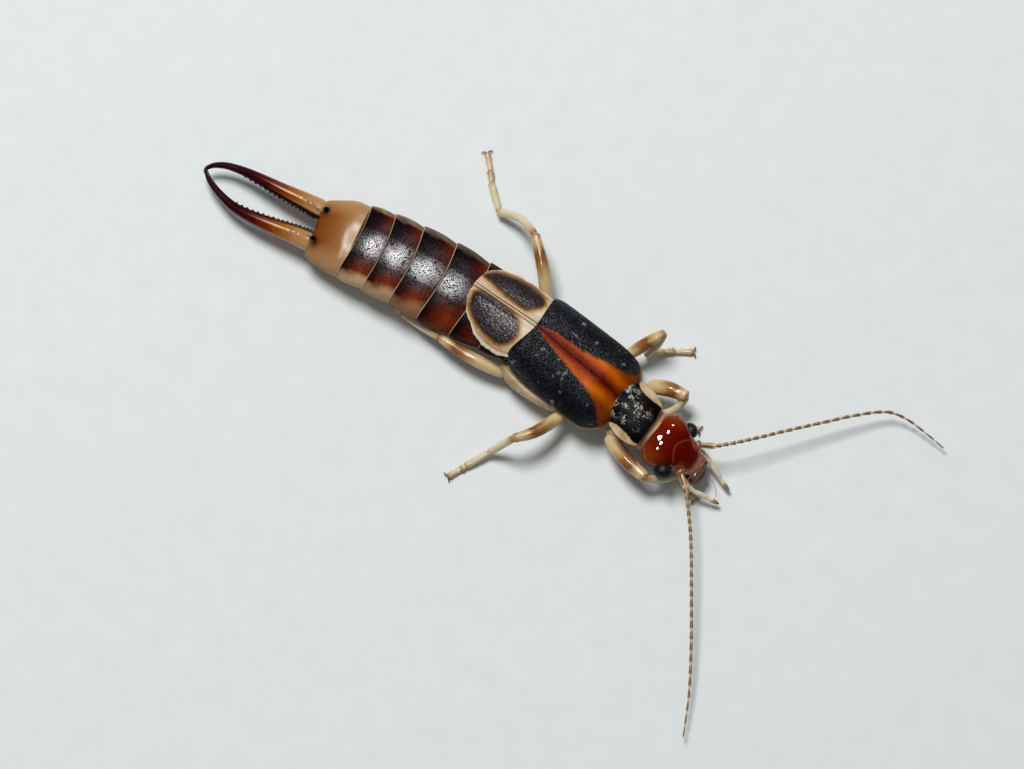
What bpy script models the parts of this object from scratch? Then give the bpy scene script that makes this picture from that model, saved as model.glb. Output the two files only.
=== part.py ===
"""A life-size earwig standing still on its six feet, each piece of the body a closed solid.

X runs forward along the body to the head, Y to the animal's left and Z up. The feet rest on Z = 0
and the origin lies there, under the middle of the whole animal.
"""

import math

import bmesh
import bpy
from mathutils import Matrix, Vector

# Every size is in millimetres. finish() turns each finished mesh into metres.
MM = 0.001
GAP = 0.25  # between two pieces of the trunk, and between a leg and the trunk
FINE_GAP = 0.12  # between the small pieces of the head, and where limbs pass close by
SLIVER = 0.0002  # points nearer than this are one

# The middle line of the trunk seen from above, (x, y) from the tail to the neck. It bends a little.
MIDDLE_LINE = (
    (-11.2, 1.52),
    (-10.2, 1.72),
    (-9.15, 1.95),
    (-6.7, 2.22),
    (-3.7, 2.38),
    (-0.7, 2.48),
    (1.6, 2.28),
    (3.9, 1.9),
)

# Stiff pieces each have a rear middle point and a heading, in degrees to the animal's left.
WINGS_AT = (-0.7, 2.5, -7.0)
PRONOTUM_AT = (3.72, 1.92, -12.0)
HEAD_AT = (5.97, 1.5, -3.5)

# Rings of the abdomen: how far forward, half width, height of the belly and of the back.
LAST_SEGMENT = (
    (-11.0, 1.24, 0.56, 1.56),
    (-10.85, 1.32, 0.52, 1.66),
    (-10.2, 1.5, 0.46, 1.86),
    (-9.5, 1.66, 0.44, 1.96),
    (-9.28, 1.7, 0.44, 1.98),
)
# Where the rear edge of each plate of the back lies, with the ring's sizes there.
BACK_PLATES = (
    (-9.03, 1.74, 0.44, 2.0),
    (-7.95, 1.8, 0.43, 2.1),
    (-6.63, 1.85, 0.42, 2.16),
    (-5.2, 1.87, 0.42, 2.2),
    (-3.68, 1.8, 0.43, 2.16),
    (-2.35, 1.68, 0.44, 2.06),
    (-1.1, 1.56, 0.46, 1.96),
    (0.0, 1.4, 0.5, 1.9),
)
PLATE_STEP = 0.07  # how far a plate's rear edge stands over the next plate
ABDOMEN_SIDES = 26

THORAX_RINGS = (
    (0.98, 1.3, 0.52, 1.85),
    (1.3, 1.48, 0.46, 1.92),
    (2.6, 1.55, 0.44, 1.96),
    (4.0, 1.35, 0.48, 1.9),
    (4.45, 1.1, 0.56, 1.8),
)
PROTHORAX_RINGS = (
    (0.2, 0.8, 0.74, 1.7),
    (0.5, 1.0, 0.68, 1.82),
    (1.2, 1.02, 0.68, 1.86),
    (1.75, 0.86, 0.74, 1.78),
    (2.0, 0.7, 0.86, 1.66),
)
HEAD_RINGS = (
    (0.0, 0.78, 1.05, 1.62),
    (0.05, 0.97, 0.92, 1.76),
    (0.2, 1.14, 0.8, 1.88),
    (0.5, 1.23, 0.72, 1.98),
    (0.85, 1.18, 0.68, 2.0),
    (1.2, 1.06, 0.68, 1.94),
    (1.5, 0.9, 0.7, 1.82),
    (1.72, 0.72, 0.72, 1.66),
    (1.9, 0.52, 0.76, 1.46),
    (1.96, 0.38, 0.82, 1.3),
)
SNOUT_RINGS = (
    (1.7, 0.46, 0.84, 1.42),
    (1.95, 0.46, 0.84, 1.36),
    (2.15, 0.42, 0.84, 1.26),
    (2.3, 0.33, 0.86, 1.16),
    (2.38, 0.18, 0.9, 1.06),
)
JAW = ((1.6, 0.52, 0.78), (1.95, 0.46, 0.74), (2.2, 0.3, 0.76), (2.36, 0.1, 0.8))
JAW_RADII = (0.2, 0.19, 0.14, 0.06)

EYE_AT = (1.06, 1.08, 1.52)
EYE_RADII = (0.34, 0.24, 0.3)
EYE_TURN = 14.0  # degrees that an eye looks outward from straight ahead
FEELER_SOCKET = (1.62, 0.72, 1.34)

# The wing cases, in their own frame: along, across and up.
CASE_LENGTH = 4.62
CASE_HALF_WIDTH = 1.9
CASE_NARROWING = (0.08, 0.13)  # shares of the width lost at the rear and at the front
CASE_TOP = 2.68
CASE_SIDE = 1.34
CASE_THICKNESS = 0.5
CASE_ROUNDNESS = 2.5
CASE_CORNERS = (0.5, 0.38)  # how far the outer corners are rounded off, at the rear and the front
CORNER_START = 0.6  # the share of the width where a rounded corner starts
# The hind wings' scales, which show behind the cases.
SCALE_LENGTH = 2.8
SCALE_HALF_WIDTH = 1.64
SCALE_TIP = 0.5  # share of the width lost at the tip
SCALE_TOP = 2.46
SCALE_SIDE = 1.86
SCALE_THICKNESS = 0.5
SCALE_CORNER = 0.35

PRONOTUM_LENGTH = 1.97
PRONOTUM_REAR = 1.05
PRONOTUM_FRONT = 0.96
PRONOTUM_BULGE = 0.2
PRONOTUM_CORNERS = (0.42, 0.12)  # how far the corners lie in from the rear and the front edge
PRONOTUM_TOP = 2.36
PRONOTUM_DROP = 0.36  # from the middle to the side margins
PRONOTUM_ENDS_DROP = 0.12  # from the middle to the front and rear edges
PRONOTUM_THICKNESS = 0.42

# The forceps: the middle of each arm from its root to its tip, and the arm's width along it.
FORCEPS_LEFT = (
    (-11.28, 2.38, 1.02),
    (-11.8, 2.33, 0.94),
    (-12.44, 2.28, 0.86),
    (-13.37, 2.25, 0.8),
    (-14.26, 2.17, 0.75),
    (-15.12, 2.04, 0.7),
    (-15.7, 1.86, 0.67),
    (-16.06, 1.64, 0.65),
)
FORCEPS_RIGHT = (
    (-11.1, 0.9, 1.02),
    (-11.49, 0.88, 0.94),
    (-12.35, 0.77, 0.86),
    (-13.23, 0.68, 0.8),
    (-14.11, 0.65, 0.75),
    (-14.87, 0.72, 0.7),
    (-15.5, 0.93, 0.67),
    (-15.92, 1.22, 0.65),
)
FORCEPS_WIDTH = (1.06, 0.5, 0.16)  # at the root, in the middle and at the tip
FORCEPS_DEPTH = (0.74, 0.46, 0.16)
TEETH = 9
TEETH_FROM, TEETH_REACH = 0.03, 0.4  # shares of the arm's length
TOOTH_HEIGHT = 0.12
TOOTH_ROOT = 0.25  # how deep a tooth sits in the arm
TOOTH_RADII = (0.1, 0.02)

# Each leg from its root under the trunk: hip, start of the thigh, knee, ankle, then the foot.
LEGS = {
    "leg_left_front": (
        (4.75, 2.2, 0.62), (4.35, 3.12, 0.86), (6.06, 3.6, 1.3), (5.45, 2.42, 0.36),
        (6.45, 2.66, 0.22), (7.3, 2.86, 0.22), (7.68, 2.94, 0.2),
    ),
    "leg_left_middle": (
        (2.6, 2.75, 0.62), (2.98, 3.56, 0.84), (3.92, 5.32, 1.6), (3.69, 4.4, 0.36),
        (4.37, 5.1, 0.22), (4.72, 5.3, 0.22), (5.4, 5.72, 0.2),
    ),
    "leg_left_hind": (
        (0.1, 3.0, 0.62), (-0.72, 3.78, 0.86), (-2.87, 6.1, 1.72), (-4.8, 6.4, 0.36),
        (-5.8, 7.45, 0.22), (-6.1, 7.86, 0.22), (-6.86, 8.48, 0.2),
    ),
    "leg_right_front": (
        (4.75, 1.25, 0.62), (3.98, 0.52, 0.8), (6.58, -0.34, 1.16), (7.32, 0.3, 0.36),
        (7.95, 0.3, 0.22), (8.4, 0.24, 0.22), (8.78, 0.2, 0.2),
    ),
    "leg_right_middle": (
        (2.6, 1.5, 0.62), (2.0, 0.35, 0.84), (1.04, -1.76, 1.6), (0.38, -2.5, 0.36),
        (-0.13, -3.32, 0.22), (-0.34, -3.65, 0.22), (-0.68, -4.34, 0.2),
    ),
    "leg_right_hind": (
        (1.5, 0.5, 0.72), (-0.82, 0.58, 0.78), (-3.98, 0.32, 0.98), (-5.9, 0.42, 0.36),
        (-6.6, 0.6, 0.22), (-6.95, 0.68, 0.22), (-7.6, 0.8, 0.2),
    ),
}
# The radii at these shares of a limb's length give its shape.
LIMB_SHARES = (0.0, 0.04, 0.14, 0.4, 0.7, 0.92, 0.98, 1.0)
HIP_RADII = (0.29, 0.37, 0.38, 0.38, 0.37, 0.34, 0.3, 0.22)
THIGH_RADII = (0.2, 0.29, 0.33, 0.36, 0.32, 0.29, 0.24, 0.15)
SHIN_RADII = (0.16, 0.23, 0.26, 0.26, 0.26, 0.26, 0.23, 0.16)
FOOT_RADII = (0.2, 0.25, 0.25, 0.125)

# The feelers and palps run from their sockets; a feeler's last points come down near the floor.
FEELER_LEFT = (
    (8.3, 2.5, 1.42), (9.3, 3.46, 1.35), (10.32, 4.56, 1.2), (11.5, 5.8, 1.02),
    (12.43, 6.76, 0.87), (13.44, 7.6, 0.68), (14.27, 7.78, 0.56), (15.23, 7.71, 0.46),
    (16.2, 7.57, 0.38),
)
FEELER_RIGHT = (
    (8.17, 0.16, 1.33), (8.52, -0.26, 1.29), (9.45, -1.53, 1.16), (10.75, -3.59, 0.97),
    (11.66, -5.08, 0.82), (12.67, -6.89, 0.58), (13.4, -8.52, 0.38),
)
FEELER_RADII = (0.25, 0.25, 0.25, 0.12)
PALP_LEFT = (
    (7.85, 2.0, 0.78), (8.2, 1.9, 0.72), (8.62, 1.78, 0.62), (9.05, 1.52, 0.48), (9.5, 1.37, 0.34),
)
PALP_RIGHT = (
    (7.85, 0.86, 0.78), (8.2, 0.72, 0.72), (8.62, 0.61, 0.6), (9.09, 0.59, 0.46), (9.47, 0.65, 0.34),
)
PALP_RADII = (0.2, 0.22, 0.25, 0.24, 0.12)


def clear_scene():
    for thing in list(bpy.data.objects):
        bpy.data.objects.remove(thing)


def new_collection(name):
    group = bpy.data.collections.new(name)
    bpy.context.scene.collection.children.link(group)
    return group


def material(name, colour, roughness, metallic=0.0):
    """A plain surface of one colour, given as red, green and blue from 0 to 1."""
    paint = bpy.data.materials.new(name)
    paint.use_nodes = True
    shader = paint.node_tree.nodes["Principled BSDF"]
    shader.inputs["Base Color"].default_value = (*colour, 1.0)
    shader.inputs["Roughness"].default_value = roughness
    shader.inputs["Metallic"].default_value = metallic
    return paint


def add_object(name, mesh):
    piece = bpy.data.objects.new(name, mesh)
    animal.objects.link(piece)
    return piece


def remember(*pieces):
    """Keeps each piece's shape before it is cut, for the cutters that are made from it."""
    for piece in pieces:
        uncut[piece.name] = piece.data.copy()


def object_from(name, bm):
    """The object that a working mesh becomes, with its faces turned out."""
    bmesh.ops.recalc_face_normals(bm, faces=bm.faces)
    mesh = bpy.data.meshes.new(name)
    bm.to_mesh(mesh)
    bm.free()
    return add_object(name, mesh)


def bake(piece):
    """Turns a piece and its modifiers into one plain mesh."""
    bpy.context.view_layer.update()
    graph = bpy.context.evaluated_depsgraph_get()
    mesh = bpy.data.meshes.new_from_object(piece.evaluated_get(graph))
    piece.modifiers.clear()
    piece.data = mesh


def islands_of(bm):
    """The separate closed surfaces of a mesh, each as its list of faces."""
    waiting = set(bm.faces)
    found = []
    while waiting:
        surface = [waiting.pop()]
        for face in surface:
            for edge in face.edges:
                near = [other for other in edge.link_faces if other in waiting]
                waiting.difference_update(near)
                surface.extend(near)
        found.append(surface)
    return found


def span_of(surface):
    """How much room a surface takes: the product of its three sides."""
    points = [vert.co for face in surface for vert in face.verts]
    sides = [max(p[k] for p in points) - min(p[k] for p in points) for k in range(3)]
    return math.prod(sides)


def keep_largest(piece):
    """Cleans a piece after a Boolean, and keeps only its largest closed surface."""
    bm = bmesh.new()
    bm.from_mesh(piece.data)
    bmesh.ops.remove_doubles(bm, verts=bm.verts, dist=SLIVER)
    bmesh.ops.dissolve_degenerate(bm, edges=bm.edges, dist=SLIVER)
    bmesh.ops.triangulate(bm, faces=bm.faces)
    surfaces = sorted(islands_of(bm), key=span_of)
    spare = [face for surface in surfaces[:-1] for face in surface]
    bmesh.ops.delete(bm, geom=spare, context="FACES")
    bm.to_mesh(piece.data)
    bm.free()


def fuse(piece, others):
    """Joins closed pieces that sink into one another into one closed body."""
    group = bpy.data.collections.new("to_fuse")
    for other in others:
        group.objects.link(other)
    join = piece.modifiers.new("join", "BOOLEAN")
    join.operation = "UNION"
    join.operand_type = "COLLECTION"
    join.collection = group
    bake(piece)
    for other in others:
        bpy.data.objects.remove(other)
    bpy.data.collections.remove(group)
    keep_largest(piece)


def swollen_copy(piece, by):
    """A cutter: the piece as it was before any cut, its surface moved outward by a distance."""
    bm = bmesh.new()
    bm.from_mesh(uncut[piece.name])
    bm.normal_update()
    moves = [vert.normal * by * min(vert.calc_shell_factor(), 1.5) for vert in bm.verts]
    for vert, move in zip(bm.verts, moves):
        vert.co += move
    mesh = bpy.data.meshes.new(piece.name + "_cutter")
    bm.to_mesh(mesh)
    bm.free()
    cutter = bpy.data.objects.new(mesh.name, mesh)
    cutter.hide_render = True
    cutter.display_type = "WIRE"
    cutters.objects.link(cutter)
    return cutter


def cut_clear(piece, neighbours, gap, solver="EXACT"):
    """Cuts a piece back so that it keeps the gap to each of its neighbours."""
    for neighbour in neighbours:
        cutter = swollen_copy(neighbour, gap)
        cut = piece.modifiers.new("cut", "BOOLEAN")
        cut.operation = "DIFFERENCE"
        cut.solver = solver
        cut.object = cutter
        bake(piece)
        bpy.data.objects.remove(cutter)
        keep_largest(piece)


def stiff_frame(x, y, heading):
    """Places points given as along, across and up in the frame of a stiff piece."""
    turn = math.radians(heading)
    ahead = Vector((math.cos(turn), math.sin(turn), 0.0))
    left = Vector((-math.sin(turn), math.cos(turn), 0.0))

    def place(along, across, up):
        return Vector((x, y, 0.0)) + ahead * along + left * across + Vector((0.0, 0.0, up))

    return place


def slope_at(index):
    """The slope of the middle line at one of its points."""
    before = MIDDLE_LINE[max(index - 1, 0)]
    after = MIDDLE_LINE[min(index + 1, len(MIDDLE_LINE) - 1)]
    return (after[1] - before[1]) / (after[0] - before[0])


def on_middle_line(x):
    """The middle line's y and slope at x, from a smooth curve through its points."""
    last = len(MIDDLE_LINE) - 2
    index = max(k for k in range(last + 1) if k == 0 or MIDDLE_LINE[k][0] <= x)
    (x0, y0), (x1, y1) = MIDDLE_LINE[index], MIDDLE_LINE[index + 1]
    length = x1 - x0
    t = (x - x0) / length
    m0 = slope_at(index) * length
    m1 = slope_at(index + 1) * length
    rise = y1 - y0
    y = y0 + m0 * t + (3 * rise - 2 * m0 - m1) * t**2 + (m0 + m1 - 2 * rise) * t**3
    slope = (m0 + 2 * (3 * rise - 2 * m0 - m1) * t + 3 * (m0 + m1 - 2 * rise) * t**2) / length
    return y, slope


def bent_frame(along, across, up):
    """Places points on the bent trunk: along is x on the middle line."""
    y, slope = on_middle_line(along)
    turn = math.atan(slope)
    return Vector((along - across * math.sin(turn), y + across * math.cos(turn), up))


def ring(place, size, sides, power=2.4):
    """One cross-section of the trunk: a flattened oval with full flanks."""
    along, half_width, belly, back = size
    middle = belly + 0.45 * (back - belly)
    points = []
    for k in range(sides):
        angle = 2 * math.pi * (k + 0.5) / sides
        across = math.copysign(abs(math.cos(angle)) ** (2 / power), math.cos(angle))
        rise = math.copysign(abs(math.sin(angle)) ** (2 / power), math.sin(angle))
        height = back - middle if rise > 0 else middle - belly
        points.append(place(along, across * half_width, middle + rise * height))
    return points


def loft(name, rings):
    """A closed body through rings of the same number of points."""
    bm = bmesh.new()
    loops = [[bm.verts.new(point) for point in points] for points in rings]
    for one, two in zip(loops, loops[1:]):
        for k in range(len(one)):
            bm.faces.new((one[k - 1], one[k], two[k], two[k - 1]))
    bm.faces.new(loops[0])
    bm.faces.new(loops[-1])
    return object_from(name, bm)


def trunk_piece(name, place, sizes, sides=20):
    return loft(name, [ring(place, size, sides) for size in sizes])


def smooth_route(points, steps):
    """A curve through the points, with the given number of steps between two of them."""
    ends = [Vector(points[0]) * 2 - Vector(points[1])]
    ends += [Vector(point) for point in points]
    ends += [Vector(points[-1]) * 2 - Vector(points[-2])]
    route = []
    for a, b, c, d in zip(ends, ends[1:], ends[2:], ends[3:]):
        for k in range(steps):
            t = k / steps
            pull = (c - a) * t + (2 * a - 5 * b + 4 * c - d) * t**2
            route.append(b + 0.5 * (pull + (3 * b - a - 3 * c + d) * t**3))
    route.append(Vector(points[-1]))
    return route


def between(values, share):
    """A value read at a share from 0 to 1 along evenly spaced values."""
    spot = share * (len(values) - 1)
    index = min(int(spot), len(values) - 2)
    return values[index] + (values[index + 1] - values[index]) * (spot - index)


def tube(name, route, radii):
    """A round limb along a route, with its radius read from a few values along it."""
    curve = bpy.data.curves.new(name, "CURVE")
    curve.dimensions = "3D"
    curve.bevel_depth = 1.0
    curve.bevel_resolution = 2
    curve.use_fill_caps = True
    spline = curve.splines.new("POLY")
    spline.points.add(len(route) - 1)
    for k, (point, spot) in enumerate(zip(spline.points, route)):
        point.co = (*spot, 1.0)
        point.radius = between(radii, k / (len(route) - 1))
    guide = add_object(name + "_curve", curve)
    bpy.context.view_layer.update()
    graph = bpy.context.evaluated_depsgraph_get()
    mesh = bpy.data.meshes.new_from_object(guide.evaluated_get(graph))
    bpy.data.objects.remove(guide)
    bm = bmesh.new()
    bm.from_mesh(mesh)
    bmesh.ops.remove_doubles(bm, verts=bm.verts, dist=0.001)
    return object_from(name, bm)


def straight(start, end, shares):
    """Points on the line between two places, at the given shares of it."""
    start, end = Vector(start), Vector(end)
    return [start.lerp(end, share) for share in shares]


def plate(name, surface, thickness, across, along):
    """A shell from a surface: surface(a, b) gives a point for a and b from 0 to 1."""
    bm = bmesh.new()
    bmesh.ops.create_grid(bm, x_segments=across, y_segments=along, size=0.5)
    for vert in bm.verts:
        vert.co = surface(vert.co.x + 0.5, vert.co.y + 0.5)
    mesh = bpy.data.meshes.new(name)
    bm.to_mesh(mesh)
    bm.free()
    piece = add_object(name, mesh)
    if mesh.polygons[len(mesh.polygons) // 2].normal.z < 0:
        mesh.flip_normals()
    shell = piece.modifiers.new("shell", "SOLIDIFY")
    shell.thickness = thickness
    shell.offset = -1.0
    bake(piece)
    keep_largest(piece)
    return piece


def abdomen():
    """The rings of the abdomen in front of the last one, each plate standing over the next."""
    rings = []
    for rear, front in zip(BACK_PLATES, BACK_PLATES[1:]):
        for share, grown in ((0.0, 0.5), (0.1, 0.55), (0.55, 0.0), (0.97, -0.5)):
            along, half_width, belly, back = (r + (f - r) * share for r, f in zip(rear, front))
            step = PLATE_STEP * grown
            size = (along, half_width + step, belly - step / 2, back + step)
            rings.append(ring(bent_frame, size, ABDOMEN_SIDES))
    rings.append(ring(bent_frame, BACK_PLATES[-1], ABDOMEN_SIDES))
    return loft("abdomen", rings)


def corner_at(a):
    """How far a point at share a of the width lies in a rounded corner, from 0 to 1."""
    return max(0.0, (a - CORNER_START) / (1 - CORNER_START)) ** 2


def wing_case(side):
    """One wing case: a stiff shell, bent down along its outer margin."""
    place = stiff_frame(*WINGS_AT)

    def surface(a, b):
        angle = a * math.pi / 2
        rear_loss, front_loss = CASE_NARROWING
        width = CASE_HALF_WIDTH * (1 - rear_loss * (1 - b) ** 3 - front_loss * b**8)
        across = GAP / 2 + (width - GAP / 2) * math.sin(angle) ** (2 / CASE_ROUNDNESS)
        up = CASE_SIDE + (CASE_TOP - CASE_SIDE) * math.cos(angle) ** (2 / CASE_ROUNDNESS)
        rear = 0.05 + CASE_CORNERS[0] * corner_at(a)
        front = CASE_LENGTH - 0.3 * (1 - a) - CASE_CORNERS[1] * corner_at(a)
        return place(rear + (front - rear) * b, side * across, up - 0.05 * b)

    return surface


def wing_scale(side):
    """One scale of the folded hind wings, lying flat behind the wing case."""
    place = stiff_frame(*WINGS_AT)

    def surface(a, b):
        width = SCALE_HALF_WIDTH * (0.98 + 0.08 * b - SCALE_TIP * b**6)
        across = GAP / 2 + (width - GAP / 2) * a
        reach = SCALE_LENGTH * (1 - 0.1 * a**2 * b)
        along = 0.05 - GAP + SCALE_CORNER * corner_at(a) * (1 - b)
        up = SCALE_TOP + (SCALE_SIDE - SCALE_TOP) * a**2.2 - 0.1 * b
        return place(along - reach * b, side * across, up)

    return surface


def pronotum_surface(a, b):
    """The shield over the front of the thorax, round at the rear and cut off at the front."""
    place = stiff_frame(*PRONOTUM_AT)
    side = 2 * a - 1
    width = PRONOTUM_REAR + (PRONOTUM_FRONT - PRONOTUM_REAR) * b + PRONOTUM_BULGE * 4 * b * (1 - b)
    rear = PRONOTUM_CORNERS[0] * abs(side) ** 2.2
    front = PRONOTUM_LENGTH - PRONOTUM_CORNERS[1] * abs(side) ** 4
    drop = PRONOTUM_DROP * abs(side) ** 2.4 + PRONOTUM_ENDS_DROP * (2 * b - 1) ** 2
    return place(rear + (front - rear) * b, side * width, PRONOTUM_TOP - drop)


def head():
    """The head with its snout and the tips of the jaws."""
    place = stiff_frame(*HEAD_AT)
    capsule = trunk_piece("head", place, HEAD_RINGS, 24)
    pieces = [trunk_piece("snout", place, SNOUT_RINGS, 16)]
    for side in (1, -1):
        route = [place(along, side * across, up) for along, across, up in JAW]
        pieces.append(tube("jaw", route, JAW_RADII))
    fuse(capsule, pieces)
    return capsule


def eye(side):
    """One eye: a flat oval dome that bulges from the side of the head."""
    bm = bmesh.new()
    bmesh.ops.create_uvsphere(bm, u_segments=16, v_segments=10, radius=1.0)
    along, across, up = EYE_AT
    centre = stiff_frame(*HEAD_AT)(along, side * across, up)
    turn = Matrix.Rotation(math.radians(HEAD_AT[2] - side * EYE_TURN), 4, "Z")
    sizes = Matrix.Diagonal((*EYE_RADII, 1.0))
    bmesh.ops.transform(bm, matrix=Matrix.Translation(centre) @ turn @ sizes, verts=bm.verts)
    return object_from("eye_left" if side > 0 else "eye_right", bm)


def feeler(name, side, route):
    along, across, up = FEELER_SOCKET
    root = stiff_frame(*HEAD_AT)(along, side * across, up)
    return tube(name, smooth_route((tuple(root), *route), 3), FEELER_RADII)


def forceps_arm(name, route, side):
    """One arm of the forceps, wide at its root, with a row of teeth on its inner edge."""
    points = smooth_route(route, 3)
    rings = []
    for k, point in enumerate(points):
        share = k / (len(points) - 1)
        ahead = points[min(k + 1, len(points) - 1)] - points[max(k - 1, 0)]
        inward = Vector((-ahead.y, ahead.x, 0.0)).normalized()
        width = between(FORCEPS_WIDTH, share) / 2
        depth = between(FORCEPS_DEPTH, share) / 2
        turns = [2 * math.pi * corner / 10 for corner in range(10)]
        up = Vector((0.0, 0.0, 1.0))
        rings.append([point + inward * width * math.cos(t) + up * depth * math.sin(t) for t in turns])
    arm = loft(name, rings)
    teeth = []
    thick, thin = TOOTH_RADII
    for k in range(TEETH):
        share = TEETH_FROM + TEETH_REACH * (k / (TEETH - 1)) ** 1.15
        spot = share * (len(points) - 1)
        low = int(spot)
        point = points[low].lerp(points[low + 1], spot - low)
        ahead = (points[low + 1] - points[low]).normalized()
        inward = Vector((-ahead.y, ahead.x, 0.0)) * side
        bm = bmesh.new()
        reach = between(FORCEPS_WIDTH, share) / 2
        length = TOOTH_ROOT + TOOTH_HEIGHT
        bmesh.ops.create_cone(bm, segments=5, radius1=thick, radius2=thin, depth=length, cap_ends=True)
        turn = Vector((0.0, 0.0, 1.0)).rotation_difference(inward).to_matrix().to_4x4()
        centre = point + inward * (reach + (TOOTH_HEIGHT - TOOTH_ROOT) / 2)
        bmesh.ops.transform(bm, matrix=Matrix.Translation(centre) @ turn, verts=bm.verts)
        teeth.append(object_from("tooth", bm))
    fuse(arm, teeth)
    return arm


def flatten_sole(piece):
    """Cuts away what lies below the floor, so that the foot stands on a small flat."""
    bm = bmesh.new()
    bm.from_mesh(piece.data)
    everything = list(bm.verts) + list(bm.edges) + list(bm.faces)
    bmesh.ops.bisect_plane(
        bm, geom=everything, dist=1e-5, plane_co=(0, 0, 0), plane_no=(0, 0, 1), clear_inner=True
    )
    rim = [edge for edge in bm.edges if edge.is_boundary]
    bmesh.ops.holes_fill(bm, edges=rim, sides=0)
    bmesh.ops.triangulate(bm, faces=bm.faces)
    bmesh.ops.recalc_face_normals(bm, faces=bm.faces)
    bm.to_mesh(piece.data)
    bm.free()


def leg(name, joints):
    """One leg: hip, thigh, shin and a foot of three joints, which lies along the floor."""
    hip, thigh_root, knee, ankle = joints[:4]
    thigh = tube(name, straight(thigh_root, knee, LIMB_SHARES), THIGH_RADII)
    hip_piece = tube("hip", straight(hip, thigh_root, LIMB_SHARES), HIP_RADII)
    shin = tube("shin", straight(knee, ankle, LIMB_SHARES), SHIN_RADII)
    foot = tube("foot", joints[3:], FOOT_RADII)
    fuse(thigh, [hip_piece, shin, foot])
    flatten_sole(thigh)
    keep_largest(thigh)
    return thigh


def finish(piece, root, paint):
    """Moves a piece's origin to its root, turns it into metres and gives it its material."""
    root = Vector(root)
    piece.data.transform(Matrix.Translation(-root))
    piece.data.transform(Matrix.Scale(MM, 4))
    piece.location = root * MM
    piece.parent = stand
    piece.data.materials.clear()
    piece.data.materials.append(paint)
    piece.data.shade_smooth()
    piece.data.set_sharp_from_angle(angle=math.radians(40))


clear_scene()
animal = new_collection("earwig")
cutters = new_collection("cutters")
stand = bpy.data.objects.new("body", None)
animal.objects.link(stand)
uncut = {}

red_brown = material("head_red_brown", (0.2, 0.02, 0.008), 0.25)
eye_black = material("eye_black", (0.01, 0.01, 0.012), 0.2)
black = material("wing_case_black", (0.015, 0.014, 0.015), 0.45)
amber = material("wing_scale_amber", (0.2, 0.1, 0.04), 0.4)
cream = material("leg_cream", (0.62, 0.45, 0.24), 0.4)
chestnut = material("abdomen_chestnut", (0.1, 0.015, 0.008), 0.3)
caramel = material("tail_caramel", (0.36, 0.16, 0.06), 0.3)
maroon = material("forceps_maroon", (0.08, 0.008, 0.008), 0.2)
straw = material("feeler_straw", (0.3, 0.18, 0.07), 0.45)

wings_place = stiff_frame(*WINGS_AT)
chest_place = stiff_frame(*PRONOTUM_AT)
head_place = stiff_frame(*HEAD_AT)

case_left = plate("tegmen_left", wing_case(1), CASE_THICKNESS, 10, 12)
case_right = plate("tegmen_right", wing_case(-1), CASE_THICKNESS, 10, 12)
scale_left = plate("wing_scale_left", wing_scale(1), SCALE_THICKNESS, 8, 10)
scale_right = plate("wing_scale_right", wing_scale(-1), SCALE_THICKNESS, 8, 10)
shield = plate("pronotum", pronotum_surface, PRONOTUM_THICKNESS, 14, 10)
trunk = trunk_piece("thorax", wings_place, THORAX_RINGS, 22)
chest = trunk_piece("prothorax", chest_place, PROTHORAX_RINGS, 20)
belly = abdomen()
tail = trunk_piece("last_segment", bent_frame, LAST_SEGMENT, ABDOMEN_SIDES)
skull = head()
eyes = [eye(1), eye(-1)]
feelers = [feeler("antenna_left", 1, FEELER_LEFT), feeler("antenna_right", -1, FEELER_RIGHT)]
palps = [
    tube("palp_left", smooth_route(PALP_LEFT, 3), PALP_RADII),
    tube("palp_right", smooth_route(PALP_RIGHT, 3), PALP_RADII),
]
arms = [
    forceps_arm("forceps_left", FORCEPS_LEFT, 1),
    forceps_arm("forceps_right", FORCEPS_RIGHT, -1),
]
limbs = [leg(name, joints) for name, joints in LEGS.items()]
remember(case_left, case_right, scale_left, scale_right, shield, trunk, chest, belly, tail, skull)
remember(*eyes, *feelers, *palps, *arms, *limbs)

for case, scale in ((case_left, scale_left), (case_right, scale_right)):
    cut_clear(case, (shield,), GAP)
    cut_clear(scale, (case,), GAP)
cut_clear(trunk, (case_left, case_right, shield), GAP)
cut_clear(chest, (shield, trunk), GAP)
# EXACT loses the belly and a palp, so these are cut with the other solver.
cut_clear(belly, (scale_left, scale_right, case_left, case_right, trunk), GAP, "MANIFOLD")
cut_clear(skull, eyes, FINE_GAP)
for piece in feelers + palps:
    cut_clear(piece, (skull,), FINE_GAP, "MANIFOLD")
for palp, whip in zip(palps, feelers):
    cut_clear(palp, (whip,), FINE_GAP)
cut_clear(arms[0], (tail,), FINE_GAP)
cut_clear(arms[1], (tail, arms[0]), FINE_GAP)
for k, limb in enumerate(limbs):
    cut_clear(limb, (trunk, chest, belly), GAP)
    cut_clear(limb, (shield, case_left, case_right, skull, *limbs[:k]), FINE_GAP)

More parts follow.
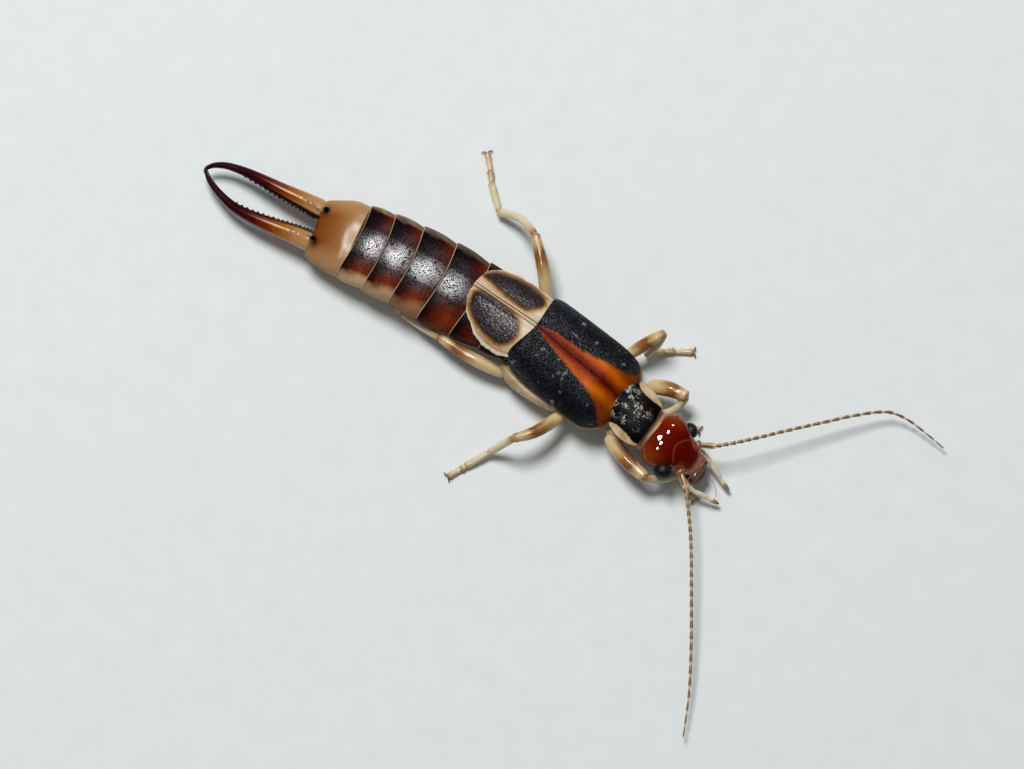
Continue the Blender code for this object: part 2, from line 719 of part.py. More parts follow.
finish(case_left, wings_place(0.0, 0.2, CASE_TOP), black)
finish(case_right, wings_place(0.0, -0.2, CASE_TOP), black)
finish(scale_left, wings_place(-GAP, 0.2, SCALE_TOP), amber)
finish(scale_right, wings_place(-GAP, -0.2, SCALE_TOP), amber)
finish(shield, chest_place(0.0, 0.0, PRONOTUM_TOP), black)
finish(trunk, wings_place(2.6, 0.0, 1.2), cream)
finish(chest, chest_place(1.0, 0.0, 1.2), cream)
finish(belly, bent_frame(0.0, 0.0, 1.2), chestnut)
finish(tail, bent_frame(-9.3, 0.0, 1.2), caramel)
finish(skull, head_place(0.0, 0.0, 1.3), red_brown)
for organ, side in zip(eyes, (1, -1)):
    finish(organ, head_place(EYE_AT[0], side * EYE_AT[1], EYE_AT[2]), eye_black)
for whip, side in zip(feelers, (1, -1)):
    finish(whip, head_place(FEELER_SOCKET[0], side * FEELER_SOCKET[1], FEELER_SOCKET[2]), straw)
for palp, route in zip(palps, (PALP_LEFT, PALP_RIGHT)):
    finish(palp, route[0], cream)
for arm, route in zip(arms, (FORCEPS_LEFT, FORCEPS_RIGHT)):
    finish(arm, route[0], maroon)
for limb in limbs:
    finish(limb, LEGS[limb.name][0], cream)
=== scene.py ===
import functools
import math
import random

import bpy
from mathutils import Matrix, Vector


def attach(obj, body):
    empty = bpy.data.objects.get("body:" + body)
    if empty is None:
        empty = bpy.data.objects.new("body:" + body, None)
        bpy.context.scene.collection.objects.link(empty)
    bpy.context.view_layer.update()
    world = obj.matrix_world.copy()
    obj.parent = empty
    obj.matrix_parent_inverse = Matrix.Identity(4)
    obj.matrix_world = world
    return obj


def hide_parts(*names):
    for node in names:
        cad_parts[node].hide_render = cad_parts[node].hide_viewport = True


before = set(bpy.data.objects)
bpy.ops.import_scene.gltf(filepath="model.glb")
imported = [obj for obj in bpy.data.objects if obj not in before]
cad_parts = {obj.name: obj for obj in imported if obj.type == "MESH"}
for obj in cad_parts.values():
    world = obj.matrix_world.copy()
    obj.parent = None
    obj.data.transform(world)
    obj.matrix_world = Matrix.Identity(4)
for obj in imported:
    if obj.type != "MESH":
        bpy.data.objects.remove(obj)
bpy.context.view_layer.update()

# A large earwig at life size, a still museum model standing on a plain floor, its head towards +X.
# Shapes are drawn in millimetres and brought to metres when a piece is finished.
MM = 0.001
bpy.ops.object.select_all(action="DESELECT")

# Where the stiff parts of the body stand: place along and across, and heading in degrees.
WINGS_AT = (-0.7, 2.5, -7.0)
SHIELD_AT = (3.72, 1.92, -12.0)
HEAD_AT = (5.97, 1.5, -3.5)
MIDDLE_LINE = ((-11.2, 1.52), (-10.2, 1.72), (-9.15, 1.95), (-6.7, 2.22), (-3.7, 2.38), (-0.7, 2.48),
               (1.6, 2.28), (3.9, 1.9))

# Drawing tools


def smooth(table, at):
    """The row of a table at a given first value, on a smooth line through its rows."""
    at = min(max(at, table[0][0]), table[-1][0])
    i = max([k for k in range(len(table) - 1) if table[k][0] <= at] or [0])
    a, b = table[i], table[i + 1]
    before = table[i - 1] if i else a
    after = table[i + 2] if i + 2 < len(table) else b
    span = b[0] - a[0]
    t = (at - a[0]) / span
    row = [at]
    for k in range(1, len(a)):
        leave = (b[k] - before[k]) / (b[0] - before[0]) * span
        reach = (after[k] - a[k]) / (after[0] - a[0]) * span
        row.append((2 * t**3 - 3 * t**2 + 1) * a[k] + (t**3 - 2 * t**2 + t) * leave
                   + (3 * t**2 - 2 * t**3) * b[k] + (t**3 - t**2) * reach)
    return tuple(row)


def steps(first, last, count):
    return [first + (last - first) * k / (count - 1) for k in range(count)]


def rows_of(table, first, last, count):
    """Evenly spaced rows of a table, on a smooth line through its own rows."""
    return [smooth(table, at) for at in steps(first, last, count)]


def bell(x, width):
    """A soft hump: one in its middle, fading to nothing past its width."""
    return math.exp(-(x / width) ** 2)


def part_of(x, start, end):
    """How far x has gone from start to end, held between nothing and one."""
    return min(max((x - start) / (end - start), 0.0), 1.0)


def distance(route, x, y):
    """How far a point lies from a drawn line."""
    best = math.inf
    for (ax, ay), (bx, by) in zip(route, route[1:]):
        ux, uy = bx - ax, by - ay
        t = min(max(((x - ax) * ux + (y - ay) * uy) / (ux * ux + uy * uy), 0.0), 1.0)
        best = min(best, math.hypot(x - ax - ux * t, y - ay - uy * t))
    return best


def depth_in(outline, x, y):
    """How far a point lies inside a drawn outline, less than nothing outside it."""
    inside = False
    for (ax, ay), (bx, by) in zip(outline, outline[1:] + outline[:1]):
        if (ay > y) != (by > y) and x < (bx - ax) * (y - ay) / (by - ay) + ax:
            inside = not inside
    return distance(outline + outline[:1], x, y) * (1 if inside else -1)


def pick(*pieces):
    """Selects these pieces alone, the first of them as the active one."""
    bpy.ops.object.select_all(action="DESELECT")
    for piece in pieces:
        piece.select_set(True)
        bpy.context.view_layer.objects.active = pieces[0]


def apply(piece, kind, **settings):
    """Adds a modifier with its settings and applies it."""
    pick(piece)
    modifier = piece.modifiers.new(kind.lower(), kind)
    for name, value in settings.items():
        setattr(modifier, name, value)
    bpy.ops.object.modifier_apply(modifier=modifier.name)


def drawn_body(name, rings, sides, square=2.0):
    """Draws a closed body ring by ring: a ring is its place along, half width, belly and back height."""
    along, half, belly, back = rings[0]
    centre = (along, 0, (belly + back) / 2)
    pick()
    bpy.ops.mesh.primitive_circle_add(vertices=sides, radius=1, fill_type="NGON", location=centre,
                                      rotation=(0, math.pi / 2, 0))
    piece = bpy.context.object
    piece.name = name
    for point in piece.data.vertices:
        point.co *= (abs(point.co.x) ** square + abs(point.co.y) ** square) ** (-1 / square)
    bpy.ops.object.mode_set(mode="EDIT")
    bpy.ops.mesh.select_all(action="SELECT")
    bpy.ops.transform.resize(value=(1, half, (back - belly) / 2), center_override=centre)
    for a, b in zip(rings, rings[1:]):
        middle = (b[2] + b[3]) / 2
        step = (b[0] - a[0], 0, middle - (a[2] + a[3]) / 2)
        growth = (1, b[1] / a[1], (b[3] - b[2]) / (a[3] - a[2]))
        bpy.ops.mesh.extrude_region_move(TRANSFORM_OT_translate={"value": step})
        bpy.ops.transform.resize(value=growth, center_override=(b[0], 0, middle))
    bpy.ops.mesh.select_all(action="SELECT")
    bpy.ops.mesh.normals_make_consistent(inside=False)
    bpy.ops.object.mode_set(mode="OBJECT")
    bpy.ops.object.transform_apply()
    mark(piece)
    return piece


def tapered(name, length, profile, sides, flat=1.0, rings=14, thick=1.0):
    """Draws a limb's joint: its profile gives its half width at shares of its length."""
    rows = [(share * length, half * thick) for share, half in rows_of(profile, 0, 1, rings)]
    return drawn_body(name, [(at, half, -half * flat, half * flat) for at, half in rows], sides)


def moulded_sheet(name, shape, along, across, thickness):
    """Draws a sheet as a grid, moulds it to a shape by its shares along and across, and gives it a wall."""
    pick()
    bpy.ops.mesh.primitive_grid_add(x_subdivisions=along, y_subdivisions=across, size=2, location=(0, 0, 0))
    piece = bpy.context.object
    piece.name = name
    for point in piece.data.vertices:
        point.co = shape((point.co.x + 1) / 2, (point.co.y + 1) / 2)
    if sum(face.normal.z for face in piece.data.polygons) < 0:
        bpy.ops.object.mode_set(mode="EDIT")
        bpy.ops.mesh.select_all(action="SELECT")
        bpy.ops.mesh.flip_normals()
        bpy.ops.object.mode_set(mode="OBJECT")
    mark(piece)
    apply(piece, "SOLIDIFY", thickness=thickness, offset=-1)
    apply(piece, "SUBSURF", levels=1, render_levels=1)
    return piece


def layer_of(piece, name, kind):
    """A named layer of values kept at the points of a piece, made if it isn't there."""
    return (piece.data.attributes.get(name) or piece.data.attributes.new(name, kind, "POINT")).data


def mark(piece, name="lay"):
    """Keeps each point's place, so that a pattern still lies on it once the piece is bent and set down."""
    for point, kept in zip(piece.data.vertices, layer_of(piece, name, "FLOAT_VECTOR")):
        kept.vector = point.co


def mark_with(piece, **values):
    """Keeps more values at each point, each worked out from its kept place."""
    for name, value in values.items():
        layer = layer_of(piece, name, "FLOAT")
        for entry, kept in zip(layer, layer_of(piece, "lay", "FLOAT_VECTOR")):
            entry.value = value(*kept.vector)


def remark(piece, value):
    """Changes the kept places, for instance to shares of a piece's length."""
    for kept in layer_of(piece, "lay", "FLOAT_VECTOR"):
        kept.vector = value(*kept.vector)


def press(piece, depth):
    """Presses each point in along its normal, or out where the depth is less than nothing."""
    moves = [point.normal * -depth(*point.co) for point in piece.data.vertices]
    for point, move in zip(piece.data.vertices, moves):
        point.co += move


def place(piece, x, y, turn, z=0):
    pick(piece)
    piece.location = (x, y, z)
    piece.rotation_euler = (0, 0, math.radians(turn))
    bpy.ops.object.transform_apply()


def aim(piece, start, end):
    """Stands a straight piece at its start and turns it to point at its end."""
    pick(piece)
    piece.rotation_mode = "QUATERNION"
    piece.rotation_quaternion = (Vector(end) - Vector(start)).to_track_quat("X", "Z")
    piece.location = start
    bpy.ops.object.transform_apply()


def eased(route, step=0.08):
    """The points of a smooth line through the points of a route."""
    rows = [(0.0, *route[0])]
    for a, b in zip(route, route[1:]):
        rows.append((rows[-1][0] + math.dist(a, b), *b))
    long = rows[-1][0]
    return [Vector(row[1:]) for row in rows_of(rows, 0, long, max(int(long / step), 4))]


def rounded(outline):
    """A drawn outline with its corners eased."""
    return [(point.x, point.y) for point in eased([(x, y, 0) for x, y in outline + outline[:1]], 0.22)[:-1]]


def length_of(points):
    return sum((b - a).length for a, b in zip(points, points[1:]))


def lay_along(piece, points):
    """Bends a straight piece along a line, its own start on the line's start."""
    curve = bpy.data.curves.new("line", "CURVE")
    curve.dimensions = "3D"
    curve.twist_mode = "Z_UP"
    spline = curve.splines.new("POLY")
    spline.points.add(len(points) - 1)
    for knot, point in zip(spline.points, points):
        knot.co = (*point, 1)
    line = bpy.data.objects.new("line", curve)
    bpy.context.scene.collection.objects.link(line)
    apply(piece, "CURVE", object=line, deform_axis="POS_X")
    bpy.data.objects.remove(line)


def joined(name, pieces):
    pick(*pieces)
    bpy.ops.object.join()
    bpy.context.object.name = name
    return bpy.context.object


def finish(piece, paint, slot, *nodes, at=None):
    """Sets a piece down, brings it to metres, gives it its finish and puts it in the frame."""
    if at:
        place(piece, *at)
    pick(piece)
    bpy.ops.object.shade_smooth()
    piece.scale = (MM, MM, MM)
    bpy.ops.object.transform_apply()
    piece.data.materials.clear()
    piece.data.materials.append(paint)
    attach(piece, "root")
    if nodes:
        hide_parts(*nodes)


# Finishes

OVER = {"out": 2, "data_type": "RGBA"}  # settings of a Mix node that lays its second colour over its first
TIMES = {"operation": "MULTIPLY"}
TIMES_PLUS = {"operation": "MULTIPLY_ADD"}
FINE = 0.00001  # how far a fine grain stands out, in metres


def lin(code):
    """A colour written as six hex digits, turned linear."""
    parts = [int(code[i:i + 2], 16) / 255 for i in (0, 2, 4)]
    return tuple(c / 12.92 if c <= 0.04045 else ((c + 0.055) / 1.055) ** 2.4 for c in parts) + (1.0,)


def node(paint, kind, links=None, out=0, stops=None, **settings):
    """Adds a node with its settings, values, links and colour stops, and gives one of its outputs."""
    new = paint.node_tree.nodes.new("ShaderNode" + kind)
    for name, value in settings.items():
        setattr(new, name, value)
    for name, value in (links or {}).items():
        if isinstance(value, bpy.types.NodeSocket):
            paint.node_tree.links.new(value, new.inputs[name])
        else:
            new.inputs[name].default_value = lin(value) if isinstance(value, str) else value
    if stops:
        ramp = new.color_ramp
        while len(ramp.elements) < len(stops):
            ramp.elements.new(1.0)
        for element, (at, colour) in zip(ramp.elements, stops):
            element.position = at
            element.color = lin(colour) if isinstance(colour, str) else (colour, colour, colour, 1)
    return new.outputs[out] if len(new.outputs) else new


def material(name, recipe, *values, **more):
    """Makes a finish: its recipe adds nodes and gives the shader's values. Patterns lie on the places kept
    in a piece, in millimetres from before it was bent and set down."""
    paint = bpy.data.materials.new(name)
    paint.use_nodes = True
    paint.node_tree.nodes.clear()
    add = functools.partial(node, paint)
    lay = add("Attribute", out="Vector", attribute_name="lay")
    shader = add("BsdfPrincipled", recipe(add, lay, *values, **more))
    add("OutputMaterial", {"Surface": shader})
    return paint


def head_chitin(add, lay):
    # Polished insect chitin: a glassy skin over deep red-brown, so small sharp lights sit on a nearly
    # black red.
    along, across = [add("SeparateXYZ", {0: lay}, out=k) for k in (0, 1)]
    side = add("Math", {0: across}, operation="ABSOLUTE")
    from_nape = add("MapRange", {"Value": along, "From Min": -0.3, "From Max": 1.95})
    colour = add("ValToRGB", {0: from_nape}, stops=(
        (0.0, "5c1c08"), (0.12, "6e1c08"), (0.32, "661004"), (0.5, "5a0c03"), (0.7, "560a01"),
        (0.9, "5c0f04"), (1.0, "6e2413")))
    edge = add("MapRange", {"Value": side, "From Min": 0.45, "From Max": 1.05, "To Max": 0.85})
    behind_eye = add("MapRange", {"Value": along, "From Min": 1.0, "From Max": 0.4})
    warm = add("Math", {0: edge, 1: behind_eye}, **TIMES)
    rim = add("MapRange", {"Value": side, "From Min": 1.08, "From Max": 1.22, "To Max": 0.7})
    cloud = add("TexNoise", {"Vector": lay, "Scale": 1 / 0.35, "Detail": 3.0})
    deep = add("ValToRGB", {0: cloud}, stops=((0.45, 0.0), (0.75, 0.4)))
    pale = add("Attribute", out="Fac", attribute_name="pale")
    for share, over in ((warm, "843808"), (rim, "541c08"), (deep, "460801"), (pale, "a8644a")):
        colour = add("Mix", {0: share, 6: colour, 7: over}, **OVER)
    grain = add("TexNoise", {"Vector": lay, "Scale": 1 / 0.06, "Detail": 3.0})
    bump = add("Bump", {"Height": grain, "Strength": 0.05, "Distance": FINE})
    return {"Base Color": colour, "Roughness": 0.5, "IOR": 1.5, "Specular IOR Level": 0.0,
            "Coat Weight": 1.0, "Coat Roughness": 0.03, "Normal": bump}


def two_tone(add, lay, base, second, size, roughness, clear=0.0, coat=0.0, grain=0.06, bump=0.2):
    """A natural surface of two close tones in a soft cloud, with a fine grain; sizes in millimetres."""
    cloud = add("TexNoise", {"Vector": lay, "Scale": 1 / size, "Detail": 4.0})
    share = add("ValToRGB", {0: cloud}, stops=((0.35, 0.0), (0.68, 1.0)))
    colour = add("Mix", {0: share, 6: base, 7: second}, **OVER)
    grains = add("TexNoise", {"Vector": lay, "Scale": 1 / grain, "Detail": 3.0})
    height = add("Bump", {"Height": grains, "Strength": bump, "Distance": FINE})
    return {"Base Color": colour, "Roughness": roughness, "IOR": 1.5, "Normal": height, "Coat Weight": coat,
            "Coat Roughness": 0.08, "Subsurface Weight": clear, "Subsurface Radius": (1.0, 0.6, 0.35),
            "Subsurface Scale": 0.0002}


def lip_chitin(add, lay):
    # Thin clear lip chitin: greyish brown glass with a dark red-brown bar behind it and a dark front rim.
    along = add("SeparateXYZ", {0: lay})
    cloud = add("TexNoise", {"Vector": lay, "Scale": 1 / 0.12, "Detail": 4.0})
    at = add("Math", {0: cloud, 1: 0.1, 2: along}, **TIMES_PLUS)
    from_bar = add("MapRange", {"Value": at, "From Min": 2.1, "From Max": 2.5})
    colour = add("ValToRGB", {0: from_bar}, stops=(
        (0.0, "7a4434"), (0.1, "4a120a"), (0.3, "300804"), (0.42, "5a3c2c"), (0.7, "6c5846"),
        (0.86, "563c2c"), (0.95, "1c120c")))
    grain = add("TexNoise", {"Vector": lay, "Scale": 1 / 0.05, "Detail": 3.0})
    bump = add("Bump", {"Height": grain, "Strength": 0.2, "Distance": FINE})
    return {"Base Color": colour, "Roughness": 0.4, "IOR": 1.5, "Specular IOR Level": 0.1,
            "Coat Weight": 0.8, "Coat Roughness": 0.07, "Normal": bump}


def case_horn(add, lay):
    # Granulated black wing horn: tiny raised grains catch the light as sparkles; clear orange horn about
    # the seam. The real grains are about 0.03 mm; they are drawn at 0.06 mm so that they show.
    patch, seam, rim = [add("Attribute", out="Fac", attribute_name=k) for k in ("patch", "seam", "pale")]
    along = add("SeparateXYZ", {0: lay})
    rough = add("TexNoise", {"Vector": lay, "Scale": 1 / 0.16, "Detail": 4.0})
    mottle = add("TexNoise", {"Vector": lay, "Scale": 1 / 0.5, "Detail": 3.0})
    tiny = add("TexNoise", {"Vector": lay, "Scale": 1 / 0.1, "Detail": 3.0})
    specks = add("TexNoise", {"Vector": lay, "Scale": 1 / 0.34, "Detail": 6.0})
    cells = add("TexVoronoi", {"Vector": lay, "Scale": 1 / 0.06}, out="Distance")
    edge = add("Math", {0: rough, 1: 0.2, 2: patch}, **TIMES_PLUS)
    orange_share = add("MapRange", {"Value": edge, "From Min": 0.04, "From Max": 0.17})
    from_seam = add("Math", {0: rough, 1: 0.14, 2: seam}, **TIMES_PLUS)
    orange = add("ValToRGB", {0: from_seam}, stops=(
        (0.07, "4c0d02"), (0.2, "661502"), (0.3, "923002"), (0.42, "b24b02"), (0.62, "cb6404"),
        (0.95, "883c06")))
    dull = add("ValToRGB", {0: mottle}, stops=((0.45, 0.0), (0.75, 0.5)))
    orange = add("Mix", {0: dull, 6: orange, 7: "7c2c06"}, **OVER)
    black = add("ValToRGB", {0: tiny}, stops=((0.3, "060709"), (0.6, "0f1218"), (0.8, "242a36")))
    dust = add("ValToRGB", {0: specks}, stops=((0.64, 0.0), (0.7, 0.75)))
    colour = add("Mix", {0: dust, 6: black, 7: "85888a"}, **OVER)
    colour = add("Mix", {0: orange_share, 6: colour, 7: orange}, **OVER)
    colour = add("Mix", {0: rim, 6: colour, 7: "a68c66"}, **OVER)
    height = add("Math", {0: cells, 1: -0.7, 2: tiny}, **TIMES_PLUS)
    smoother = add("MapRange", {"Value": orange_share, "To Min": 1.0, "To Max": 0.4})
    bump = add("Bump", {"Height": height, "Strength": smoother, "Distance": 0.00003})
    crests = add("MapRange", {"Value": cells, "From Min": 0.6, "From Max": 0.25})
    glint = add("MapRange", {"Value": orange_share, "To Min": 1.0, "To Max": 0.12})
    shaken = add("Math", {0: mottle, 1: 5.0, 2: along}, **TIMES_PLUS)
    toward_rear = add("MapRange", {"Value": shaken, "From Min": 5.0, "From Max": 3.0, "To Min": 0.25})
    near_patch = add("MapRange", {"Value": patch, "From Min": -1.0, "From Max": -0.15})
    here = add("Math", {0: toward_rear, 1: near_patch}, operation="MAXIMUM")
    glint = add("Math", {0: glint, 1: here}, **TIMES)
    gloss = add("Math", {0: crests, 1: glint}, **TIMES)
    return {"Base Color": colour, "Roughness": 0.5, "IOR": 1.5, "Specular IOR Level": 0.03, "Normal": bump,
            "Coat Weight": gloss, "Coat Roughness": 0.32, "Coat IOR": 1.62, "Coat Normal": bump}


def shield_horn(add, lay):
    # Black shield horn dusted whitish over its middle, clean in front, with clear creamy side edges and a
    # dark rim.
    patch, rim = [add("Attribute", out="Fac", attribute_name=k) for k in ("patch", "pale")]
    along, across = [add("SeparateXYZ", {0: lay}, out=k) for k in (0, 1)]
    side = add("Math", {0: across}, operation="ABSOLUTE")
    clump = add("TexNoise", {"Vector": lay, "Scale": 1 / 0.47, "Detail": 2.0})
    fleck = add("TexNoise", {"Vector": lay, "Scale": 1 / 0.08, "Detail": 6.0, "Roughness": 0.65})
    both = add("Math", {0: clump, 1: fleck}, operation="ADD")
    average = add("Math", {0: both, 1: 0.5}, **TIMES)
    dust = add("ValToRGB", {0: average}, stops=((0.525, 0.0), (0.565, 0.35), (0.6, 0.95)))
    middle = add("MapRange", {"Value": side, "From Min": 0.9, "From Max": 0.5})
    back = add("MapRange", {"Value": along, "From Min": 1.8, "From Max": 1.35})
    corner = add("Math", {0: across, 1: 0.9, 2: along}, **TIMES_PLUS)
    clean = add("MapRange", {"Value": corner, "From Min": 2.1, "From Max": 1.6})
    where = add("Math", {0: middle, 1: back}, **TIMES)
    where = add("Math", {0: where, 1: clean}, **TIMES)
    dust = add("Math", {0: dust, 1: where}, **TIMES)
    black = add("ValToRGB", {0: fleck}, stops=((0.4, "040303"), (0.62, "120c0d"), (0.8, "2a1c1c")))
    black = add("Mix", {0: dust, 6: black, 7: "d4d3c8"}, **OVER)
    cream = add("ValToRGB", {0: clump}, stops=((0.35, "b08f66"), (0.65, "ccb595")))
    edge = add("Math", {0: fleck, 1: 0.1, 2: patch}, **TIMES_PLUS)
    inside = add("MapRange", {"Value": edge, "From Min": 0.03, "From Max": 0.07})
    colour = add("Mix", {0: inside, 6: cream, 7: black}, **OVER)
    colour = add("Mix", {0: rim, 6: colour, 7: "4a3018"}, **OVER)
    height = add("Math", {0: dust, 1: 0.6, 2: fleck}, **TIMES_PLUS)
    bump = add("Bump", {"Height": height, "Strength": 0.3, "Distance": FINE})
    return {"Base Color": colour, "Roughness": 0.34, "IOR": 1.5, "Specular IOR Level": 0.05, "Normal": bump}


def wing_leather(add, lay):
    # Folded hind-wing leather: dark pebbly ovals with amber borders between creamy, wrinkled, shiny bands.
    patch, ridge, line = [add("Attribute", out="Fac", attribute_name=k) for k in ("patch", "pale", "line")]
    rough = add("TexNoise", {"Vector": lay, "Scale": 1 / 0.14, "Detail": 4.0})
    fine = add("TexNoise", {"Vector": lay, "Scale": 1 / 0.08, "Detail": 3.0})
    cells = add("TexVoronoi", {"Vector": lay, "Scale": 1 / 0.1}, out="Distance")
    edge = add("Math", {0: rough, 1: 0.12, 2: patch}, **TIMES_PLUS)
    at = add("MapRange", {"Value": edge, "From Min": -0.24, "From Max": 0.3})
    colour = add("ValToRGB", {0: at}, stops=(
        (0.0, "dccab0"), (0.24, "caaa82"), (0.4, "9a6a38"), (0.52, "6a3e1e"), (0.64, "34201a"),
        (0.8, "241818")))
    dark = add("MapRange", {"Value": at, "From Min": 0.52, "From Max": 0.7})
    pebble = add("ValToRGB", {0: fine}, stops=((0.35, "130c0d"), (0.6, "302427"), (0.8, "564a4a")))
    for share, over in ((dark, pebble), (ridge, "d0b690"), (line, "7c5228")):
        colour = add("Mix", {0: share, 6: colour, 7: over}, **OVER)
    height = add("Math", {0: cells, 1: 0.8, 2: rough}, **TIMES_PLUS)
    bump = add("Bump", {"Height": height, "Strength": 0.7, "Distance": 0.00002})
    gloss = add("MapRange", {"Value": ridge, "To Min": 0.34, "To Max": 0.12})
    crests = add("MapRange", {"Value": cells, "From Min": 0.6, "From Max": 0.2})
    glint = add("Math", {0: crests, 1: dark}, **TIMES)
    return {"Base Color": colour, "Roughness": gloss, "IOR": 1.5, "Specular IOR Level": 0.3, "Normal": bump,
            "Coat Weight": glint, "Coat Roughness": 0.28, "Coat IOR": 1.6, "Coat Normal": bump}


def plate_chitin(add, lay):
    # Banded back-plate chitin: black in front of each pale rear hem, then oxblood, then red-orange, finely
    # pitted, so the light breaks into sparkles, with painted shade darkening the pits between the grains.
    # The real pits are about 0.03 mm; they are drawn at 0.05 mm so that they show.
    share, across, height = [add("SeparateXYZ", {0: lay}, out=k) for k in range(3)]
    number = add("Attribute", out="Fac", attribute_name="plate")
    cloud = add("TexNoise", {"Vector": lay, "Scale": 1 / 0.4, "Detail": 4.0})
    shaken = add("Math", {0: cloud, 1: 0.3, 2: share}, **TIMES_PLUS)
    wander = add("Math", {0: cloud, 1: 0.6, 2: across}, **TIMES_PLUS)
    colour = add("ValToRGB", {0: shaken}, stops=(
        (0.22, "080204"), (0.45, "18050a"), (0.75, "2a070d"), (1.0, "380a0a")))
    warm = add("ValToRGB", {0: shaken}, stops=(
        (0.2, "1c0604"), (0.36, "3c0f05"), (0.62, "6e2606"), (0.85, "8c3c0c"), (1.0, "7a2c08")))
    right = add("MapRange", {"Value": wander, "From Min": -0.3, "From Max": -0.95})
    rearward = add("MapRange", {"Value": number, "From Min": 6.2, "From Max": 3.6})
    right = add("Math", {0: right, 1: rearward}, **TIMES)
    left_front = add("MapRange", {"Value": wander, "From Min": 0.9, "From Max": 1.6, "To Max": 0.75})
    front = add("MapRange", {"Value": shaken, "From Min": 0.75, "From Max": 1.1})
    glow = add("Math", {0: left_front, 1: front}, **TIMES)
    laid = add("Attribute", out="Vector", attribute_name="grain")
    pits = add("TexVoronoi", {"Vector": laid, "Scale": 1 / 0.046}, out="Distance")
    fine = add("TexNoise", {"Vector": laid, "Scale": 1 / 0.05, "Detail": 2.0})
    rough = add("Math", {0: fine, 1: pits}, operation="SUBTRACT")
    raised = add("Math", {0: rough, 1: 1.0}, operation="ADD")
    crests = add("ValToRGB", {0: raised}, stops=((0.88, 0.0), (1.0, 1.0)))
    # Painted shade: the pits between the raised grains are mixed almost halfway to near-black.
    hollow = add("MapRange", {"Value": crests, "To Min": 0.45, "To Max": 0.0})
    toward_tail = add("MapRange", {"Value": number, "From Min": 3.9, "From Max": 1.4})
    lean = add("Math", {0: shaken, 1: -0.3, 2: wander}, **TIMES_PLUS)
    cream = add("MapRange", {"Value": lean, "From Min": -1.18, "From Max": -1.55})
    cream = add("Math", {0: cream, 1: toward_tail}, **TIMES)
    left = add("MapRange", {"Value": wander, "From Min": 1.78, "From Max": 2.02, "To Max": 0.9})
    by_number = add("Math", {0: number, 1: 0.12}, **TIMES)
    grey = add("ValToRGB", {0: by_number}, stops=(
        (0.1, "ab8c66"), (0.3, "7c6a58"), (0.6, "3a3431"), (1.0, "1c1817")))
    under = add("MapRange", {"Value": height, "From Min": 1.05, "From Max": 0.75})
    hem = add("MapRange", {"Value": share, "From Min": 0.022, "From Max": 0.01})
    # The hollow entry lays that painted shade into the pits.
    for where, over in ((right, warm), (glow, "6e2408"), (hollow, "080102"), (cream, "c4a47c"),
                        (left, grey), (under, "a8875a"), (hem, "c8a888")):
        colour = add("Mix", {0: where, 6: colour, 7: over}, **OVER)
    bump = add("Bump", {"Height": rough, "Strength": 0.2, "Distance": 0.000004})
    off_line = add("Math", {0: across}, operation="ABSOLUTE")
    field = add("MapRange", {"Value": off_line, "From Min": 0.66, "From Max": 0.04, "To Min": 0.1})
    fainter = add("MapRange", {"Value": number, "From Min": 5.5, "From Max": 2.5, "To Min": 0.5})
    field = add("Math", {0: field, 1: fainter}, **TIMES)
    gloss = add("Math", {0: crests, 1: field}, **TIMES)
    return {"Base Color": colour, "Roughness": 0.5, "IOR": 1.5, "Specular IOR Level": 0.03, "Normal": bump,
            "Coat Weight": gloss, "Coat Roughness": 0.3, "Coat IOR": 2.3, "Coat Normal": bump}


def tail_chitin(add, lay):
    # Satin caramel chitin, browner between the hinge knobs, paler to its sides.
    along, across = [add("SeparateXYZ", {0: lay}, out=k) for k in (0, 1)]
    side = add("Math", {0: across}, operation="ABSOLUTE")
    cloud = add("TexNoise", {"Vector": lay, "Scale": 1 / 0.5, "Detail": 4.0})
    from_rear = add("MapRange", {"Value": along, "From Min": -11.1, "From Max": -9.1})
    shaken = add("Math", {0: cloud, 1: 0.2, 2: from_rear}, **TIMES_PLUS)
    colour = add("ValToRGB", {0: shaken}, stops=(
        (0.08, "5a2a12"), (0.2, "743a12"), (0.55, "80461c"), (0.85, "92602e"), (1.0, "a47848")))
    edge = add("MapRange", {"Value": side, "From Min": 0.6, "From Max": 1.45})
    halo = add("Attribute", out="Fac", attribute_name="halo")
    for share, over in ((edge, "ac8258"), (halo, "2a0e08")):
        colour = add("Mix", {0: share, 6: colour, 7: over}, **OVER)
    grain = add("TexNoise", {"Vector": lay, "Scale": 1 / 0.08, "Detail": 4.0})
    bump = add("Bump", {"Height": grain, "Strength": 0.3, "Distance": FINE})
    sheen = add("MapRange", {"Value": along, "From Min": -9.95, "From Max": -9.4, "To Min": 0.12,
                             "To Max": 0.75})
    return {"Base Color": colour, "Roughness": 0.4, "IOR": 1.48, "Specular IOR Level": 0.03, "Normal": bump,
            "Coat Weight": sheen, "Coat Roughness": 0.24, "Coat Normal": bump}


